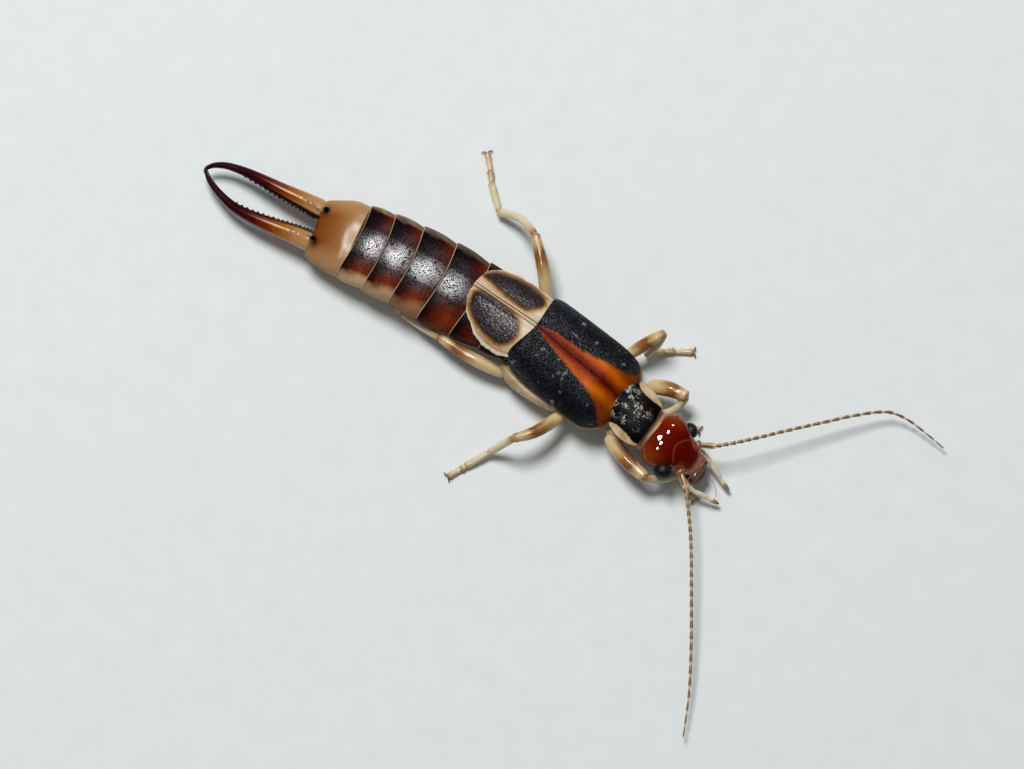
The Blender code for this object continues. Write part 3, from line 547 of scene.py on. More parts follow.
def pincer_chitin(add, lay):
    # Hard polished pincer chitin that darkens from tan roots through orange and maroon to near-black tips,
    # with a painted highlight along the keel.
    along = add("SeparateXYZ", {0: lay})
    cloud = add("TexNoise", {"Vector": lay, "Scale": 1 / 0.3, "Detail": 4.0})
    shaken = add("Math", {0: cloud, 1: 0.6, 2: along}, **TIMES_PLUS)
    from_root = add("MapRange", {"Value": shaken, "From Min": 0.2, "From Max": 5.6})
    colour = add("ValToRGB", {0: from_root}, stops=(
        (0.0, "8c5434"), (0.05, "b38a5c"), (0.16, "ad7c46"), (0.28, "9c5410"), (0.4, "722404"),
        (0.52, "4c0a08"), (0.66, "33060a"), (1.0, "260508")))
    # The keel colour is a painted highlight: a near-white line along the keel's crest.
    for kept, over in (("keel", "ffe2ba"), ("pale", "0c0304")):
        share = add("Attribute", out="Fac", attribute_name=kept)
        colour = add("Mix", {0: share, 6: colour, 7: over}, **OVER)
    bump = add("Bump", {"Height": cloud, "Strength": 0.3, "Distance": FINE})
    return {"Base Color": colour, "Roughness": 0.4, "IOR": 1.5, "Specular IOR Level": 0.05, "Normal": bump,
            "Coat Weight": 1.0, "Coat Roughness": 0.13}


def leg_chitin(add, lay):
    # Thin pale leg chitin, half clear over cream flesh: a streaky brown band before each knee and amber
    # joints.
    # The kept place along is the joint's number, from hip to claw, and the share of its length.
    along = add("SeparateXYZ", {0: lay})
    longways = add("Mapping", {"Vector": lay, "Scale": (0.7, 1.0, 1.0)})
    streak = add("TexNoise", {"Vector": longways, "Scale": 1 / 0.2, "Detail": 3.0})
    shaken = add("Math", {0: streak, 1: 0.22, 2: along}, **TIMES_PLUS)
    share = add("MapRange", {"Value": shaken, "From Min": 0.11, "From Max": 7.11})
    colour = add("ValToRGB", {0: share}, stops=(
        (0.0, "b89c70"), (0.13, "b49868"), (0.15, "d0ba90"), (0.2, "ceb684"), (0.228, "966430"),
        (0.25, "7c4e20"), (0.26, "b8945c"), (0.274, "ceb68c"), (0.284, "a0642c"), (0.296, "c4aa82"),
        (0.33, "d6c8a8"), (0.415, "d2c29e"), (0.43, "a8824e"), (0.45, "d6c8aa"), (0.55, "d0be98"),
        (0.572, "a8845a"), (0.6, "d4c4a0"), (0.71, "a88256"), (0.74, "d6c6a8"), (0.84, "c6a87a"),
        (0.858, "8e5e30")))
    grain = add("TexNoise", {"Vector": lay, "Scale": 1 / 0.08, "Detail": 3.0})
    bump = add("Bump", {"Height": grain, "Strength": 0.2, "Distance": FINE})
    return {"Base Color": colour, "Roughness": 0.4, "IOR": 1.5, "Specular IOR Level": 0.2, "Normal": bump,
            "Coat Weight": 0.7, "Coat Roughness": 0.1, "Subsurface Weight": 0.3,
            "Subsurface Radius": (1.0, 0.75, 0.45), "Subsurface Scale": 0.0002}


def feeler_chitin(add, lay):
    # Golden feeler chitin: each little joint dark honey in its middle, with a pale soft ring where it meets
    # the next.
    # The kept place along is the joint's number and the share of its length.
    along, across = [add("SeparateXYZ", {0: lay}, out=k) for k in (0, 1)]
    joint = add("Math", {0: along}, operation="FRACT")
    colour = add("ValToRGB", {0: joint}, stops=(
        (0.0, "d8c8a0"), (0.1, "b0925c"), (0.24, "7a5a2c"), (0.7, "6e4e26"), (0.84, "9a7a48"),
        (0.93, "dccba4")))
    thick_one = add("Math", {0: along, 1: 1.9}, operation="LESS_THAN")
    honey = add("ValToRGB", {0: joint}, stops=(
        (0.0, "b4855c"), (0.3, "c09a5e"), (0.75, "b28c50"), (0.95, "dcc898")))
    round_it = add("MapRange", {"Value": across, "From Min": -0.14, "From Max": 0.14})
    stripe = add("ValToRGB", {0: round_it}, stops=((0.1, 0.0), (0.25, 0.9), (0.45, 0.75), (0.55, 0.0)))
    inner = add("ValToRGB", {0: joint}, stops=((0.05, 0.0), (0.2, 1.0), (0.78, 1.0), (0.88, 0.0)))
    stripe = add("Math", {0: stripe, 1: inner}, **TIMES)
    honey = add("Mix", {0: stripe, 6: honey, 7: "4a2a12"}, **OVER)
    colour = add("Mix", {0: thick_one, 6: colour, 7: honey}, **OVER)
    bump = add("Bump", {"Height": joint, "Strength": 0.1, "Distance": FINE})
    return {"Base Color": colour, "Roughness": 0.34, "IOR": 1.5, "Normal": bump, "Coat Weight": 0.3,
            "Coat Roughness": 0.1}


def palp_chitin(add, lay):
    # Whitish, half-clear palp chitin that ends in an orange-brown tip.
    along = add("SeparateXYZ", {0: lay})
    colour = add("ValToRGB", {0: along}, stops=(
        (0.0, "b89c70"), (0.3, "d2caac"), (0.82, "d6d0b6"), (0.86, "b07848"), (0.92, "965c24"),
        (1.0, "8a5220")))
    cloud = add("TexNoise", {"Vector": lay, "Scale": 9.0, "Detail": 3.0})
    share = add("ValToRGB", {0: cloud}, stops=((0.4, 0.0), (0.75, 0.4)))
    colour = add("Mix", {0: share, 6: colour, 7: "b8b094"}, **OVER)
    bump = add("Bump", {"Height": cloud, "Strength": 0.2, "Distance": FINE})
    return {"Base Color": colour, "Roughness": 0.3, "IOR": 1.5, "Normal": bump, "Coat Weight": 0.3,
            "Coat Roughness": 0.08, "Subsurface Weight": 0.35, "Subsurface Radius": (1.0, 0.85, 0.6),
            "Subsurface Scale": 0.0002}


def eye_facets(add, lay):
    # Compound eye: a black dome of tiny glassy facets, each painted blue-grey on its raised middle as a
    # painted glint. The real ones are about 0.03 mm; they are drawn at 0.06 mm so that they show.
    cells = add("TexVoronoi", {"Vector": lay, "Scale": 1 / 0.06}, out="Distance")
    # Painted glint: blue-grey at each facet's middle, black at its edges.
    colour = add("ValToRGB", {0: cells}, stops=((0.2, "262a33"), (0.6, "08090c")))
    bump = add("Bump", {"Height": cells, "Strength": 0.5, "Distance": 0.000012}, invert=True)
    return {"Base Color": colour, "Roughness": 0.42, "IOR": 1.5, "Specular IOR Level": 0.25, "Normal": bump}


def white_board(add, lay):
    # Matt off-white board: even, with a barely seen paper tooth about a millimetre wide.
    here = add("TexCoord", out="Object")
    tooth = add("TexNoise", {"Vector": here, "Scale": 0.9 / MM, "Detail": 3.0})
    colour = add("ValToRGB", {0: tooth}, stops=((0.3, "dde2e2"), (0.7, "e1e5e5")))
    return {"Base Color": colour, "Roughness": 0.8, "Specular IOR Level": 0.2}


HEAD_CHITIN = material("polished_head_chitin", head_chitin)
LIP_CHITIN = material("clear_lip_chitin", lip_chitin)
CASE_HORN = material("granulated_case_horn", case_horn)
SHIELD_HORN = material("dusted_shield_horn", shield_horn)
WING_LEATHER = material("folded_wing_leather", wing_leather)
PLATE_CHITIN = material("banded_plate_chitin", plate_chitin)
TAIL_CHITIN = material("satin_tail_chitin", tail_chitin)
PINCER_CHITIN = material("polished_pincer_chitin", pincer_chitin)
LEG_CHITIN = material("clear_leg_chitin", leg_chitin)
FEELER_CHITIN = material("ringed_feeler_chitin", feeler_chitin)
EYE_FACETS = material("faceted_eye", eye_facets)
PALP_CHITIN = material("clear_palp_chitin", palp_chitin)
# Soft folded skin between plates: pinkish tan and hardly shiny.
NECK_SKIN = material("soft_neck_skin", two_tone, "c08e68", "a87450", 0.25, 0.45, clear=0.2, grain=0.1,
                     bump=0.5)
# Pale breast chitin under the wings: cream in beige clouds, a soft satin.
BREAST_SKIN = material("pale_breast_chitin", two_tone, "c4aa88", "a2845c", 0.4, 0.36, clear=0.2,
                       grain=0.12, bump=0.5)
# Thin face chitin: flesh pink over brown, moist-looking.
FACE_CHITIN = material("fleshy_face_chitin", two_tone, "8a4a34", "a87058", 0.16, 0.25, clear=0.1,
                       coat=0.4, grain=0.07, bump=0.6)
# Hard jaw chitin: black-red and shiny.
JAW_CHITIN = material("dark_jaw_chitin", two_tone, "33100a", "5c2412", 0.2, 0.22, coat=0.4)
# Hinge knob chitin: black glass beads that show one white glint.
KNOB_CHITIN = material("black_knob_chitin", two_tone, "050304", "0c0706", 0.2, 0.1, coat=0.8, bump=0.02)
# Claw chitin: clear amber-brown, darker in patches.
CLAW_CHITIN = material("amber_claw_chitin", two_tone, "8a5628", "5c3416", 0.12, 0.25, coat=0.3)
# Bristles: fine stiff golden-brown hairs.
BRISTLE = material("golden_bristle", two_tone, "7c5c34", "a08050", 0.2, 0.4, bump=0.05)

# Head: its rings give the place along, half width, belly height and back height
HEAD_RINGS = (
    (-0.27, 0.62, 1.0, 1.72), (-0.22, 0.84, 0.9, 1.88), (-0.1, 1.02, 0.82, 1.98), (0.16, 1.19, 0.74, 2.03),
    (0.37, 1.23, 0.7, 2.04), (0.66, 1.18, 0.68, 2.02), (0.94, 1.04, 0.66, 1.97), (1.2, 0.88, 0.66, 1.89),
    (1.46, 0.74, 0.68, 1.77), (1.72, 0.62, 0.72, 1.6), (1.9, 0.48, 0.76, 1.44), (1.98, 0.36, 0.82, 1.3))
HEAD_SUTURE = ((1.25, 0.6), (1.17, 0.54), (1.02, 0.34), (0.91, 0.1), (0.89, -0.1), (0.98, -0.28),
               (1.06, -0.43), (1.2, -0.6))
EYES = {"left": (0.96, 1.0, -24.0, 1.38), "right": (1.0, -1.07, 20.0, 1.43)}  # place, turn and height
EYE_SIZE = {"left": 0.98, "right": 1.08}
SOCKETS = ((1.6, 0.68), (1.62, -0.66))
FACE_RINGS = ((1.6, 0.6, 0.82, 1.5), (1.82, 0.58, 0.82, 1.44), (2.0, 0.52, 0.84, 1.33),
              (2.15, 0.44, 0.86, 1.22), (2.22, 0.3, 0.9, 1.12))
LIP_RINGS = ((2.0, 0.4, 0.86, 1.13), (2.08, 0.5, 0.84, 1.17), (2.19, 0.54, 0.82, 1.15),
             (2.32, 0.49, 0.82, 1.09), (2.42, 0.35, 0.84, 1.01), (2.47, 0.14, 0.87, 0.95))
CHIN_RINGS = ((0.5, 0.4, 0.6, 0.9), (0.9, 0.48, 0.56, 0.9), (1.6, 0.42, 0.58, 0.9), (2.1, 0.26, 0.66, 0.9))


def from_eye(x, y):
    """How far a place on the head is from the nearer eye's middle, along the eye's own oval."""
    return min(math.hypot((x - ex) / 1.2, y - ey) for ex, ey, *rest in EYES.values())


def head_capsule():
    stations = [-0.27, -0.25, -0.22, -0.18] + steps(-0.12, 1.92, 62) + [1.95, 1.98]
    skull = drawn_body("head_capsule", [smooth(HEAD_RINGS, at) for at in stations], 96, 2.3)

    def shaping(x, y, z):
        depth = 0.015 * bell(from_eye(x, y) - 0.34, 0.07)
        for sx, sy in SOCKETS:
            depth += 0.05 * bell(math.hypot(x - sx, y - sy), 0.16)
        if z > 1.2:
            depth += 0.009 * bell(distance(HEAD_SUTURE, x, y), 0.03)
            depth -= 0.02 * bell(x - 1.35, 0.35) * bell(y, 0.5)
        return depth

    def pale(x, y, z):
        if z < 1.1:
            return 0.0
        line = 0.4 * bell(distance(HEAD_SUTURE, x, y), 0.02)
        socket = 0.9 * max(bell(math.hypot(x - sx, y - sy), 0.2) for sx, sy in SOCKETS)
        return min(line + socket, 1.0)

    press(skull, shaping)
    mark_with(skull, pale=pale)
    finish(skull, HEAD_CHITIN, "head_shell", "head", at=HEAD_AT)


def face_and_mouth():
    """The fleshy band before the forehead, the clear lip before it, the chin below and the jaws beside."""
    face = drawn_body("face_band", rows_of(FACE_RINGS, 1.6, 2.22, 24), 56, 2.4)
    press(face, lambda x, y, z: 0.014 * math.sin(x * 34 + 3 * y) + 0.03 * bell(abs(y) - 0.3, 0.07))
    finish(face, FACE_CHITIN, "head_shell", at=HEAD_AT)
    lip = drawn_body("lip", rows_of(LIP_RINGS, 2.0, 2.47, 22), 48, 2.2)
    press(lip, lambda x, y, z: 0.02 * bell(x - 2.13, 0.03) if z > 1 else 0.0)
    place(lip, 0, -0.24, 0)
    finish(lip, LIP_CHITIN, "head_shell", at=HEAD_AT)
    chin = drawn_body("chin", rows_of(CHIN_RINGS, 0.5, 2.1, 20), 40, 2.2)
    press(chin, lambda x, y, z: 0.02 * bell(x - 1.35, 0.05) + 0.02 * bell(y, 0.05) * part_of(x, 1.3, 1.5))
    finish(chin, FACE_CHITIN, "head_shell", at=HEAD_AT)
    for side, word in ((1, "left"), (-1, "right")):
        profile = ((0, 0.2), (0.4, 0.19), (0.8, 0.12), (1, 0.03))
        jaw = tapered(word + "_jaw", 0.95, profile, 24, 0.8, rings=20)
        route = ((1.6, side * 0.5, 0.82), (1.95, side * 0.44 - 0.04, 0.78), (2.2, side * 0.3 - 0.08, 0.78),
                 (2.36, side * 0.06 - 0.1, 0.8))
        lay_along(jaw, eased(route))
        finish(jaw, JAW_CHITIN, "head_shell", at=HEAD_AT)


def eye(word):
    """A domed oval of facets, set a third of its width into the head."""
    size = EYE_SIZE[word]
    rounds = [(-size * math.cos(math.pi * t), size * math.sin(math.pi * t)) for t in steps(0.03, 0.97, 26)]
    rings = [(0.345 * on, 0.3 * out, -0.3 * out, 0.29 * out) for on, out in rounds]
    dome = drawn_body(word + "_eye", rings, 48, 2.15)
    place(dome, *EYES[word])
    finish(dome, EYE_FACETS, "eye", "eye_" + word, at=HEAD_AT)


head_capsule()
face_and_mouth()
eye("left")
eye("right")

# Feelers and mouth palps, and the points that each runs through
FEELER_LEFT = (
    (7.58, 2.1, 1.34), (8.3, 2.5, 1.42), (9.3, 3.46, 1.35), (10.32, 4.56, 1.2), (11.5, 5.8, 1.02),
    (12.43, 6.76, 0.87), (13.44, 7.6, 0.68), (14.27, 7.78, 0.56), (15.23, 7.71, 0.46), (16.2, 7.57, 0.38))
FEELER_RIGHT = (
    (7.54, 0.74, 1.34), (8.17, 0.16, 1.33), (8.52, -0.26, 1.29), (9.45, -1.53, 1.16), (10.75, -3.59, 0.97),
    (11.66, -5.08, 0.82), (12.67, -6.89, 0.58), (13.4, -8.52, 0.38))
PALP_LEFT = ((7.6, 2.02, 0.9), (7.84, 2.04, 0.86), (8.18, 1.92, 0.74), (8.68, 1.72, 0.58),
             (9.1, 1.52, 0.44), (9.56, 1.34, 0.3))
PALP_RIGHT = ((7.7, 0.72, 0.9), (8.04, 0.55, 0.8), (8.37, 0.47, 0.7), (8.76, 0.54, 0.58),
              (9.11, 0.57, 0.46), (9.5, 0.64, 0.34))
LIP_HAIR = ((8.3, 1.24, 0.82), (8.62, 1.3, 0.6), (8.9, 1.22, 0.5), (9.11, 1.06, 0.45), (9.24, 0.76, 0.42),
            (9.2, 0.47, 0.42), (9.09, 0.33, 0.42))
FEELER_JOINTS = 26
FEELER_SIDES = 16
JOINT_SHAPE = ((0.0, 0.56), (0.08, 0.66), (0.3, 0.8), (0.6, 0.96), (0.82, 1.0), (0.92, 0.9), (0.98, 0.68))
TIP = 0.02


def feeler(word, route):
    """A thick first joint in a soft collar, a short second one, and two dozen little vases."""
    points = eased(route)
    total = length_of(points)
    lengths = [0.66, 0.22] + [0.27 + 0.009 * k for k in range(FEELER_JOINTS - 2)]
    scale = total / sum(lengths)
    rings = []
    marks = []
    at = 0.0
    for k, length in enumerate(lengths):
        thick = 0.135 if k == 0 else 0.1 if k == 1 else 0.084 - 0.0006 * k
        thick *= 1 - 0.1 * max(k - 20, 0)
        for share, swell in JOINT_SHAPE:
            half = thick * (0.3 + 0.7 * swell if k == 0 else swell)
            rings.append((at + share * length * scale, half, -half, half))
            marks.append(k + share)
        at += length * scale
    rings.append((total, TIP, -TIP, TIP))
    marks.append(FEELER_JOINTS)
    piece = drawn_body(word + "_feeler", rings, FEELER_SIDES)
    for i, kept in enumerate(layer_of(piece, "lay", "FLOAT_VECTOR")):
        kept.vector.x = marks[min(i // FEELER_SIDES, len(marks) - 1)]
    lay_along(piece, points)
    finish(piece, FEELER_CHITIN, "feeler", "antenna_" + word)
    profile = ((0, 0.16), (0.3, 0.2), (0.7, 0.19), (0.9, 0.15), (1, 0.1))
    collar = tapered(word + "_feeler_collar", 0.2, profile, 28)
    aim(collar, points[0] - (points[2] - points[0]).normalized() * 0.08, points[2])
    finish(collar, FACE_CHITIN, "head_shell")


def palp(word, route):
    """A mouth palp's four slim joints, each a little pinched where it meets the next."""
    points = eased(route, 0.04)
    long = length_of(points)
    rings = []
    for a, b, thick in ((0.0, 0.16, 0.1), (0.16, 0.4, 0.115), (0.4, 0.72, 0.115), (0.72, 1.0, 0.098)):
        for share, swell in ((0.02, 0.76), (0.12, 0.92), (0.45, 1.0), (0.8, 0.96), (0.95, 0.82)):
            at = a + (b - a) * share
            half = thick * swell * (1 - 0.45 * part_of(at, 0.86, 1.0) ** 2)
            rings.append((at * long, half, -half, half))
    rings.append((long, TIP, -TIP, TIP))
    piece = drawn_body(word + "_mouth_palp", rings, 20)
    remark(piece, lambda x, y, z: (x / long, y, z))
    lay_along(piece, points)
    finish(piece, PALP_CHITIN, "leg", "palp_" + word)


def lip_hair():
    """One long fine hair that curls forward from the lip."""
    hair = tapered("lip_hair", 2.2, ((0, 0.013), (0.5, 0.011), (1, 0.004)), 6, rings=40)
    lay_along(hair, eased(LIP_HAIR))
    finish(hair, BRISTLE, "head_shell")


feeler("left", FEELER_LEFT)
feeler("right", FEELER_RIGHT)
palp("left", PALP_LEFT)
palp("right", PALP_RIGHT)
lip_hair()

# Breast, neck and shield
THORAX_RINGS = ((0.98, 1.3, 0.52, 1.85), (1.3, 1.48, 0.46, 1.92), (2.6, 1.55, 0.44, 1.96),
                (4.0, 1.35, 0.48, 1.9), (4.45, 1.1, 0.56, 1.8))
NECK_RINGS = ((-0.4, 0.9, 0.7, 1.78), (0.2, 0.95, 0.7, 1.8), (0.5, 1.0, 0.68, 1.84),
              (1.2, 1.02, 0.68, 1.88), (1.7, 0.98, 0.74, 1.93), (2.0, 0.96, 0.84, 1.97),
              (2.2, 0.88, 0.9, 1.93), (2.4, 0.8, 0.92, 1.84))
FLANK_LINE = ((-0.42, -1.5, 1.0), (0.06, -1.8, 1.05), (0.9, -1.95, 1.07), (1.8, -1.93, 1.06),
              (2.6, -1.78, 1.0), (2.95, -1.6, 0.95))
DISC = ((-0.1, 1.2), (0.24, 1.09), (0.5, 0.9), (0.8, 0.83), (1.23, 0.86), (1.76, 0.97), (1.95, 1.1),
        (2.4, 1.1), (2.4, -0.8), (2.1, -0.84), (1.81, -0.95), (1.35, -0.9), (0.85, -0.9), (0.51, -0.98),
        (0.2, -1.2), (-0.1, -1.2))
SHIELD_SKEW = 0.17


def breast_and_neck():
    breast = drawn_body("breast_skin", rows_of(THORAX_RINGS, 0.98, 4.45, 60), 64, 2.4)
    press(breast, lambda x, y, z: (0.04 * bell(x - 2.7, 0.08) + 0.03 * bell(y, 0.08) * (z < 1)
                                   + 0.02 * bell(x - 1.7, 0.05)))
    finish(breast, BREAST_SKIN, "thorax", "thorax", at=WINGS_AT)
    neck = drawn_body("neck_skin", rows_of(NECK_RINGS, -0.4, 2.4, 70), 56, 2.2)
    press(neck, lambda x, y, z: 0.02 * math.sin(x * 32))
    finish(neck, NECK_SKIN, "thorax", "prothorax", at=SHIELD_AT)


def right_flank():
    """The pale folded plate that shows along the right side under the wing case."""
    points = eased(FLANK_LINE, 0.06)
    profile = ((0, 0.08), (0.06, 0.2), (0.25, 0.28), (0.6, 0.28), (0.9, 0.2), (1, 0.08))
    flank = tapered("right_flank", length_of(points), profile, 32, 0.9, rings=50)
    press(flank, lambda x, y, z: 0.05 * bell(y - 0.02 - 0.03 * math.sin(x * 2), 0.045) if z > 0 else 0.0)
    lay_along(flank, points)
    finish(flank, BREAST_SKIN, "thorax", at=WINGS_AT)


def shield():
    """The neck shield: a low dome with a raised rim, leaning a little to the right of the head."""
    def half_at(b):
        return 1.0 + 0.24 * math.sin(math.pi * min(b * 0.9 + 0.1, 1)) ** 0.8

    def shape(b, a):
        side = 2 * a - 1
        half = half_at(b)
        rear = 0.07 + 0.37 * abs(side) ** 2.5
        front = 1.91 - 0.1 * abs(side) ** 5
        up = 2.36 - 0.34 * abs(side) ** 2.2 - 0.1 * (2 * b - 1) ** 2
        rim = 0.03 * bell(abs(side) - 0.97, 0.04)
        dent = 0.02 * bell(b - 0.35, 0.1) * bell(abs(side) - 0.35, 0.12)
        return Vector((rear + (front - rear) * b - SHIELD_SKEW * side * half, half * side, up + rim - dent))

    def rim_line(x, y, z):
        return 0.75 * part_of(half_at(part_of(x + SHIELD_SKEW * y, 0.2, 2.0)) - abs(y), 0.05, 0.015)

    piece = moulded_sheet("neck_shield", shape, 56, 72, 0.16)
    mark_with(piece, patch=lambda x, y, z: depth_in(DISC, x, y), pale=rim_line)
    finish(piece, SHIELD_HORN, "pronotum", "pronotum", at=SHIELD_AT)


breast_and_neck()
right_flank()
shield()

# Wing cases and folded hind wings: the left ones under 1, the right ones under -1
SEAM_PATCH = ((0.17, 0.15), (0.93, 0.38), (1.69, 0.42), (2.26, 0.45), (3.06, 0.65), (3.8, 0.8),
              (4.29, 0.98), (4.7, 1.35), (4.9, -1.5), (4.44, -1.32), (4.09, -0.97), (3.57, -0.76),
              (2.89, -0.59), (2.04, -0.4), (1.13, -0.2), (0.4, -0.02))
OVALS = {
    1: ((-2.98, 0.52), (-2.67, 0.92), (-1.85, 1.22), (-0.89, 1.35), (-0.33, 1.08), (-0.66, 0.5),
        (-1.3, 0.4), (-2.35, 0.46)),
    -1: ((-2.8, -0.36), (-2.42, -0.02), (-1.54, -0.02), (-0.7, -0.26), (-0.38, -0.8), (-0.68, -1.32),
         (-1.7, -1.3), (-2.6, -0.88)),
}
CASE_WIDTHS = {
    1: ((-0.25, 1.68), (0.0, 1.8), (0.4, 1.86), (2.1, 1.9), (3.4, 1.9), (4.1, 1.8), (4.4, 1.64),
        (4.7, 1.34), (5.05, 0.9)),
    -1: ((-0.25, 1.6), (0.1, 1.74), (0.5, 1.84), (1.1, 1.92), (3.0, 1.93), (3.9, 1.9), (4.3, 1.74),
         (4.6, 1.48), (5.05, 0.9)),
}
WING_WIDTHS = {
    1: ((-3.1, 0.7), (-3.0, 0.88), (-2.75, 1.12), (-2.4, 1.32), (-1.85, 1.5), (-0.86, 1.56), (0.3, 1.54)),
    -1: ((-3.1, 0.3), (-2.98, 0.6), (-2.7, 1.08), (-2.36, 1.36), (-2.1, 1.5), (-1.65, 1.76), (-0.8, 1.82),
         (-0.25, 1.66), (0.3, 1.35)),
}
WING_FRONT = 0.3


def case_seam(x):
    return 0.13 - 0.03 * x


def wing_case(side, word):
    """One wing case: it arches from the seam to its side edge, and dips in front under the shield."""
    lean, swell, overlap, lift = (0.24, 0.06, 0.05, 0.025) if side > 0 else (0.1, 0.22, 0.0, 0.0)

    def shape(b, a):
        rear = 0.06 - lean * a - swell * math.sin(math.pi * a**1.3) + 0.42 * part_of(a, 0.76, 1.0) ** 2
        x = rear + (5.0 - 0.3 * a - rear) * b
        start = case_seam(x) - overlap
        angle = a * math.pi / 2
        edge = side * smooth(CASE_WIDTHS[side], x)[1]
        y = start + (edge - start) * math.sin(angle) ** 0.8 + side * 0.035 * part_of(a, 0.955, 0.98)
        dip = 0.6 * (max(x - 3.3, 0) / 1.2) ** 2 * (1 - 0.6 * a)
        groove = 0.06 * bell(a, 0.14) * (1 - bell(x, 0.8))
        up = 1.3 + 1.38 * math.cos(angle) ** 0.8 - 0.05 * b - dip - groove + lift * bell(a, 0.2)
        return Vector((x, y, max(up, 1.25 - 0.1 * b)))

    piece = moulded_sheet(word + "_wing_case", shape, 80, 56, 0.14)
    mark_with(piece, patch=lambda x, y, z: depth_in(SEAM_PATCH, x, y),
              pale=lambda x, y, z: 0.85 * part_of(z, 1.45, 1.41),
              seam=lambda x, y, z: abs(y - case_seam(x)) + 0.1 * max(abs(x - 2.4) - 1.2, 0.0))
    finish(piece, CASE_HORN, "wing_case", "tegmen_" + word, at=WINGS_AT)


def over_plates(x, y):
    """How high the back plates come under a folded wing, in the wings' own frame."""
    off = min(abs(y + 0.02 - 0.153 * x) / 1.78, 1.0)
    return 1.26 + 0.86 * (1 - off**2.1) ** 0.48


def folded_wing(side, word):
    """The leathery end of a folded hind wing that looks out behind its case."""
    widths = WING_WIDTHS[side]
    oval = rounded(OVALS[side])

    def seam(x):
        return 0.2 + 0.065 * x

    def shape(t, a):
        x = WING_FRONT + (widths[0][0] - WING_FRONT) * (1 - t)
        wave = 0.02 * math.sin(x * 9) + 0.012 * math.sin(x * 23)
        edge = side * (smooth(widths, x)[1] + wave * part_of(a, 0.8, 1.0))
        y = seam(x) + (edge - seam(x)) * a
        off = abs(y - seam(x))
        fold = 0.08 * bell(off - 0.08, 0.07) + 0.035 * bell(off - 0.28, 0.055)
        dip = 0.06 * bell(off - 0.18, 0.07) + 0.04 * bell(a - 0.88, 0.05)
        own = 2.5 - 0.62 * a**2 - 0.12 * (1 - t)
        least = over_plates(x, y) + 0.1
        return Vector((x, y, (own + least + math.hypot(own - least, 0.4)) / 2 - 0.08 + fold - dip))

    def folds(x, y, z):
        share = (y - seam(x)) / (side * smooth(widths, x)[1] - seam(x))
        return 0.7 * bell(share - 0.9, 0.03) + 0.6 * bell(y - seam(x) - side * 0.14, 0.02)

    piece = moulded_sheet(word + "_folded_wing", shape, 64, 56, 0.09)
    mark_with(piece, patch=lambda x, y, z: depth_in(oval, x, y) + 0.03,
              pale=lambda x, y, z: 0.85 * bell(y - seam(x), 0.12), line=folds)
    finish(piece, WING_LEATHER, "wing_scale", "wing_scale_" + word, at=WINGS_AT)


for side, word in ((1, "left"), (-1, "right")):
    wing_case(side, word)
    folded_wing(side, word)

# Back plates, tail and pincers
# Each plate's place along, half width, belly height, back height and how far its rear hem leans.
PLATES = (
    (-9.28, 1.7, 0.44, 1.98, 0.07), (-7.95, 1.8, 0.43, 2.1, -0.02), (-6.63, 1.85, 0.42, 2.16, -0.04),
    (-5.2, 1.87, 0.42, 2.2, -0.02), (-3.68, 1.8, 0.43, 2.16, 0.0), (-2.35, 1.68, 0.44, 2.06, 0.0),
    (-1.1, 1.56, 0.46, 1.96, 0.0), (0.0, 1.4, 0.5, 1.9, 0.0), (0.9, 1.3, 0.5, 1.86, 0.0))
# How far each ring of a hem stands from the plate's own end: along, narrower, raised and lowered.
HEM = ((0.07, 0.14, 0.12, 0.14), (0.008, 0.04, 0.03, 0.04), (0.0, 0.01, 0.008, 0.01), (0.02, 0.0, 0.0, 0.0))
TAIL_RINGS = ((-11.0, 1.24, 0.56, 1.54), (-10.85, 1.32, 0.52, 1.64), (-10.2, 1.5, 0.46, 1.79),
              (-9.5, 1.66, 0.44, 1.92), (-9.0, 1.62, 0.5, 1.91))
BODY_LINE = eased([(x, y, 0) for x, y in MIDDLE_LINE], 0.15)
TAIL_START = MIDDLE_LINE[0][0]
KNOBS = {"left": (-10.8, 2.42), "right": (-10.6, 1.06)}
HALOES = ((-10.72, 0.72), (-10.66, -0.7))


def from_tail(rings):
    """Rings with their places along counted from where the body line starts."""
    return [(along - TAIL_START, *rest) for along, *rest in rings]


def back_plates():
    """Eight ring plates from the tail forward, each tucked under the hem of the one before it."""
    for k, (rear, front) in enumerate(zip(PLATES, PLATES[1:])):
        rings = [(rear[0] + on, rear[1] - slim, rear[2] + up, rear[3] - down) for on, slim, up, down in HEM]
        for share in steps(0.07, 1.0, 18):
            along, half, belly, back = [a + (b - a) * share for a, b in zip(rear[:4], front)]
            tuck = 0.07 * share - 0.055 * math.sin(math.pi * share)
            rings.append((along, half - tuck, belly + tuck * 0.5, back - tuck))
        along, half, belly, back = rings[-1]
        rings.append((along + 0.25, half - 0.12, belly + 0.1, back - 0.12))
        plate = drawn_body(f"back_plate_{k + 1}", from_tail(rings), 80, 2.1)
        mark(plate, "grain")
        remark(plate, lambda x, y, z: ((x + TAIL_START - rear[0]) / (front[0] - rear[0]), y, z))
        mark_with(plate, plate=lambda x, y, z: k + 1)
        for point, kept in zip(plate.data.vertices, layer_of(plate, "lay", "FLOAT_VECTOR")):
            bow = 0.24 * math.cos(min(abs(point.co.y) / 1.9, 1) * math.pi / 2)
            bow *= part_of(point.co.z, 1.2, 1.7)
            lean = rear[4] + (front[4] - rear[4]) * kept.vector.x
            point.co.x += bow + lean * (point.co.y + 1.6)
        lay_along(plate, BODY_LINE)
        finish(plate, PLATE_CHITIN, "abdomen", *(["abdomen"] if k == 0 else []))


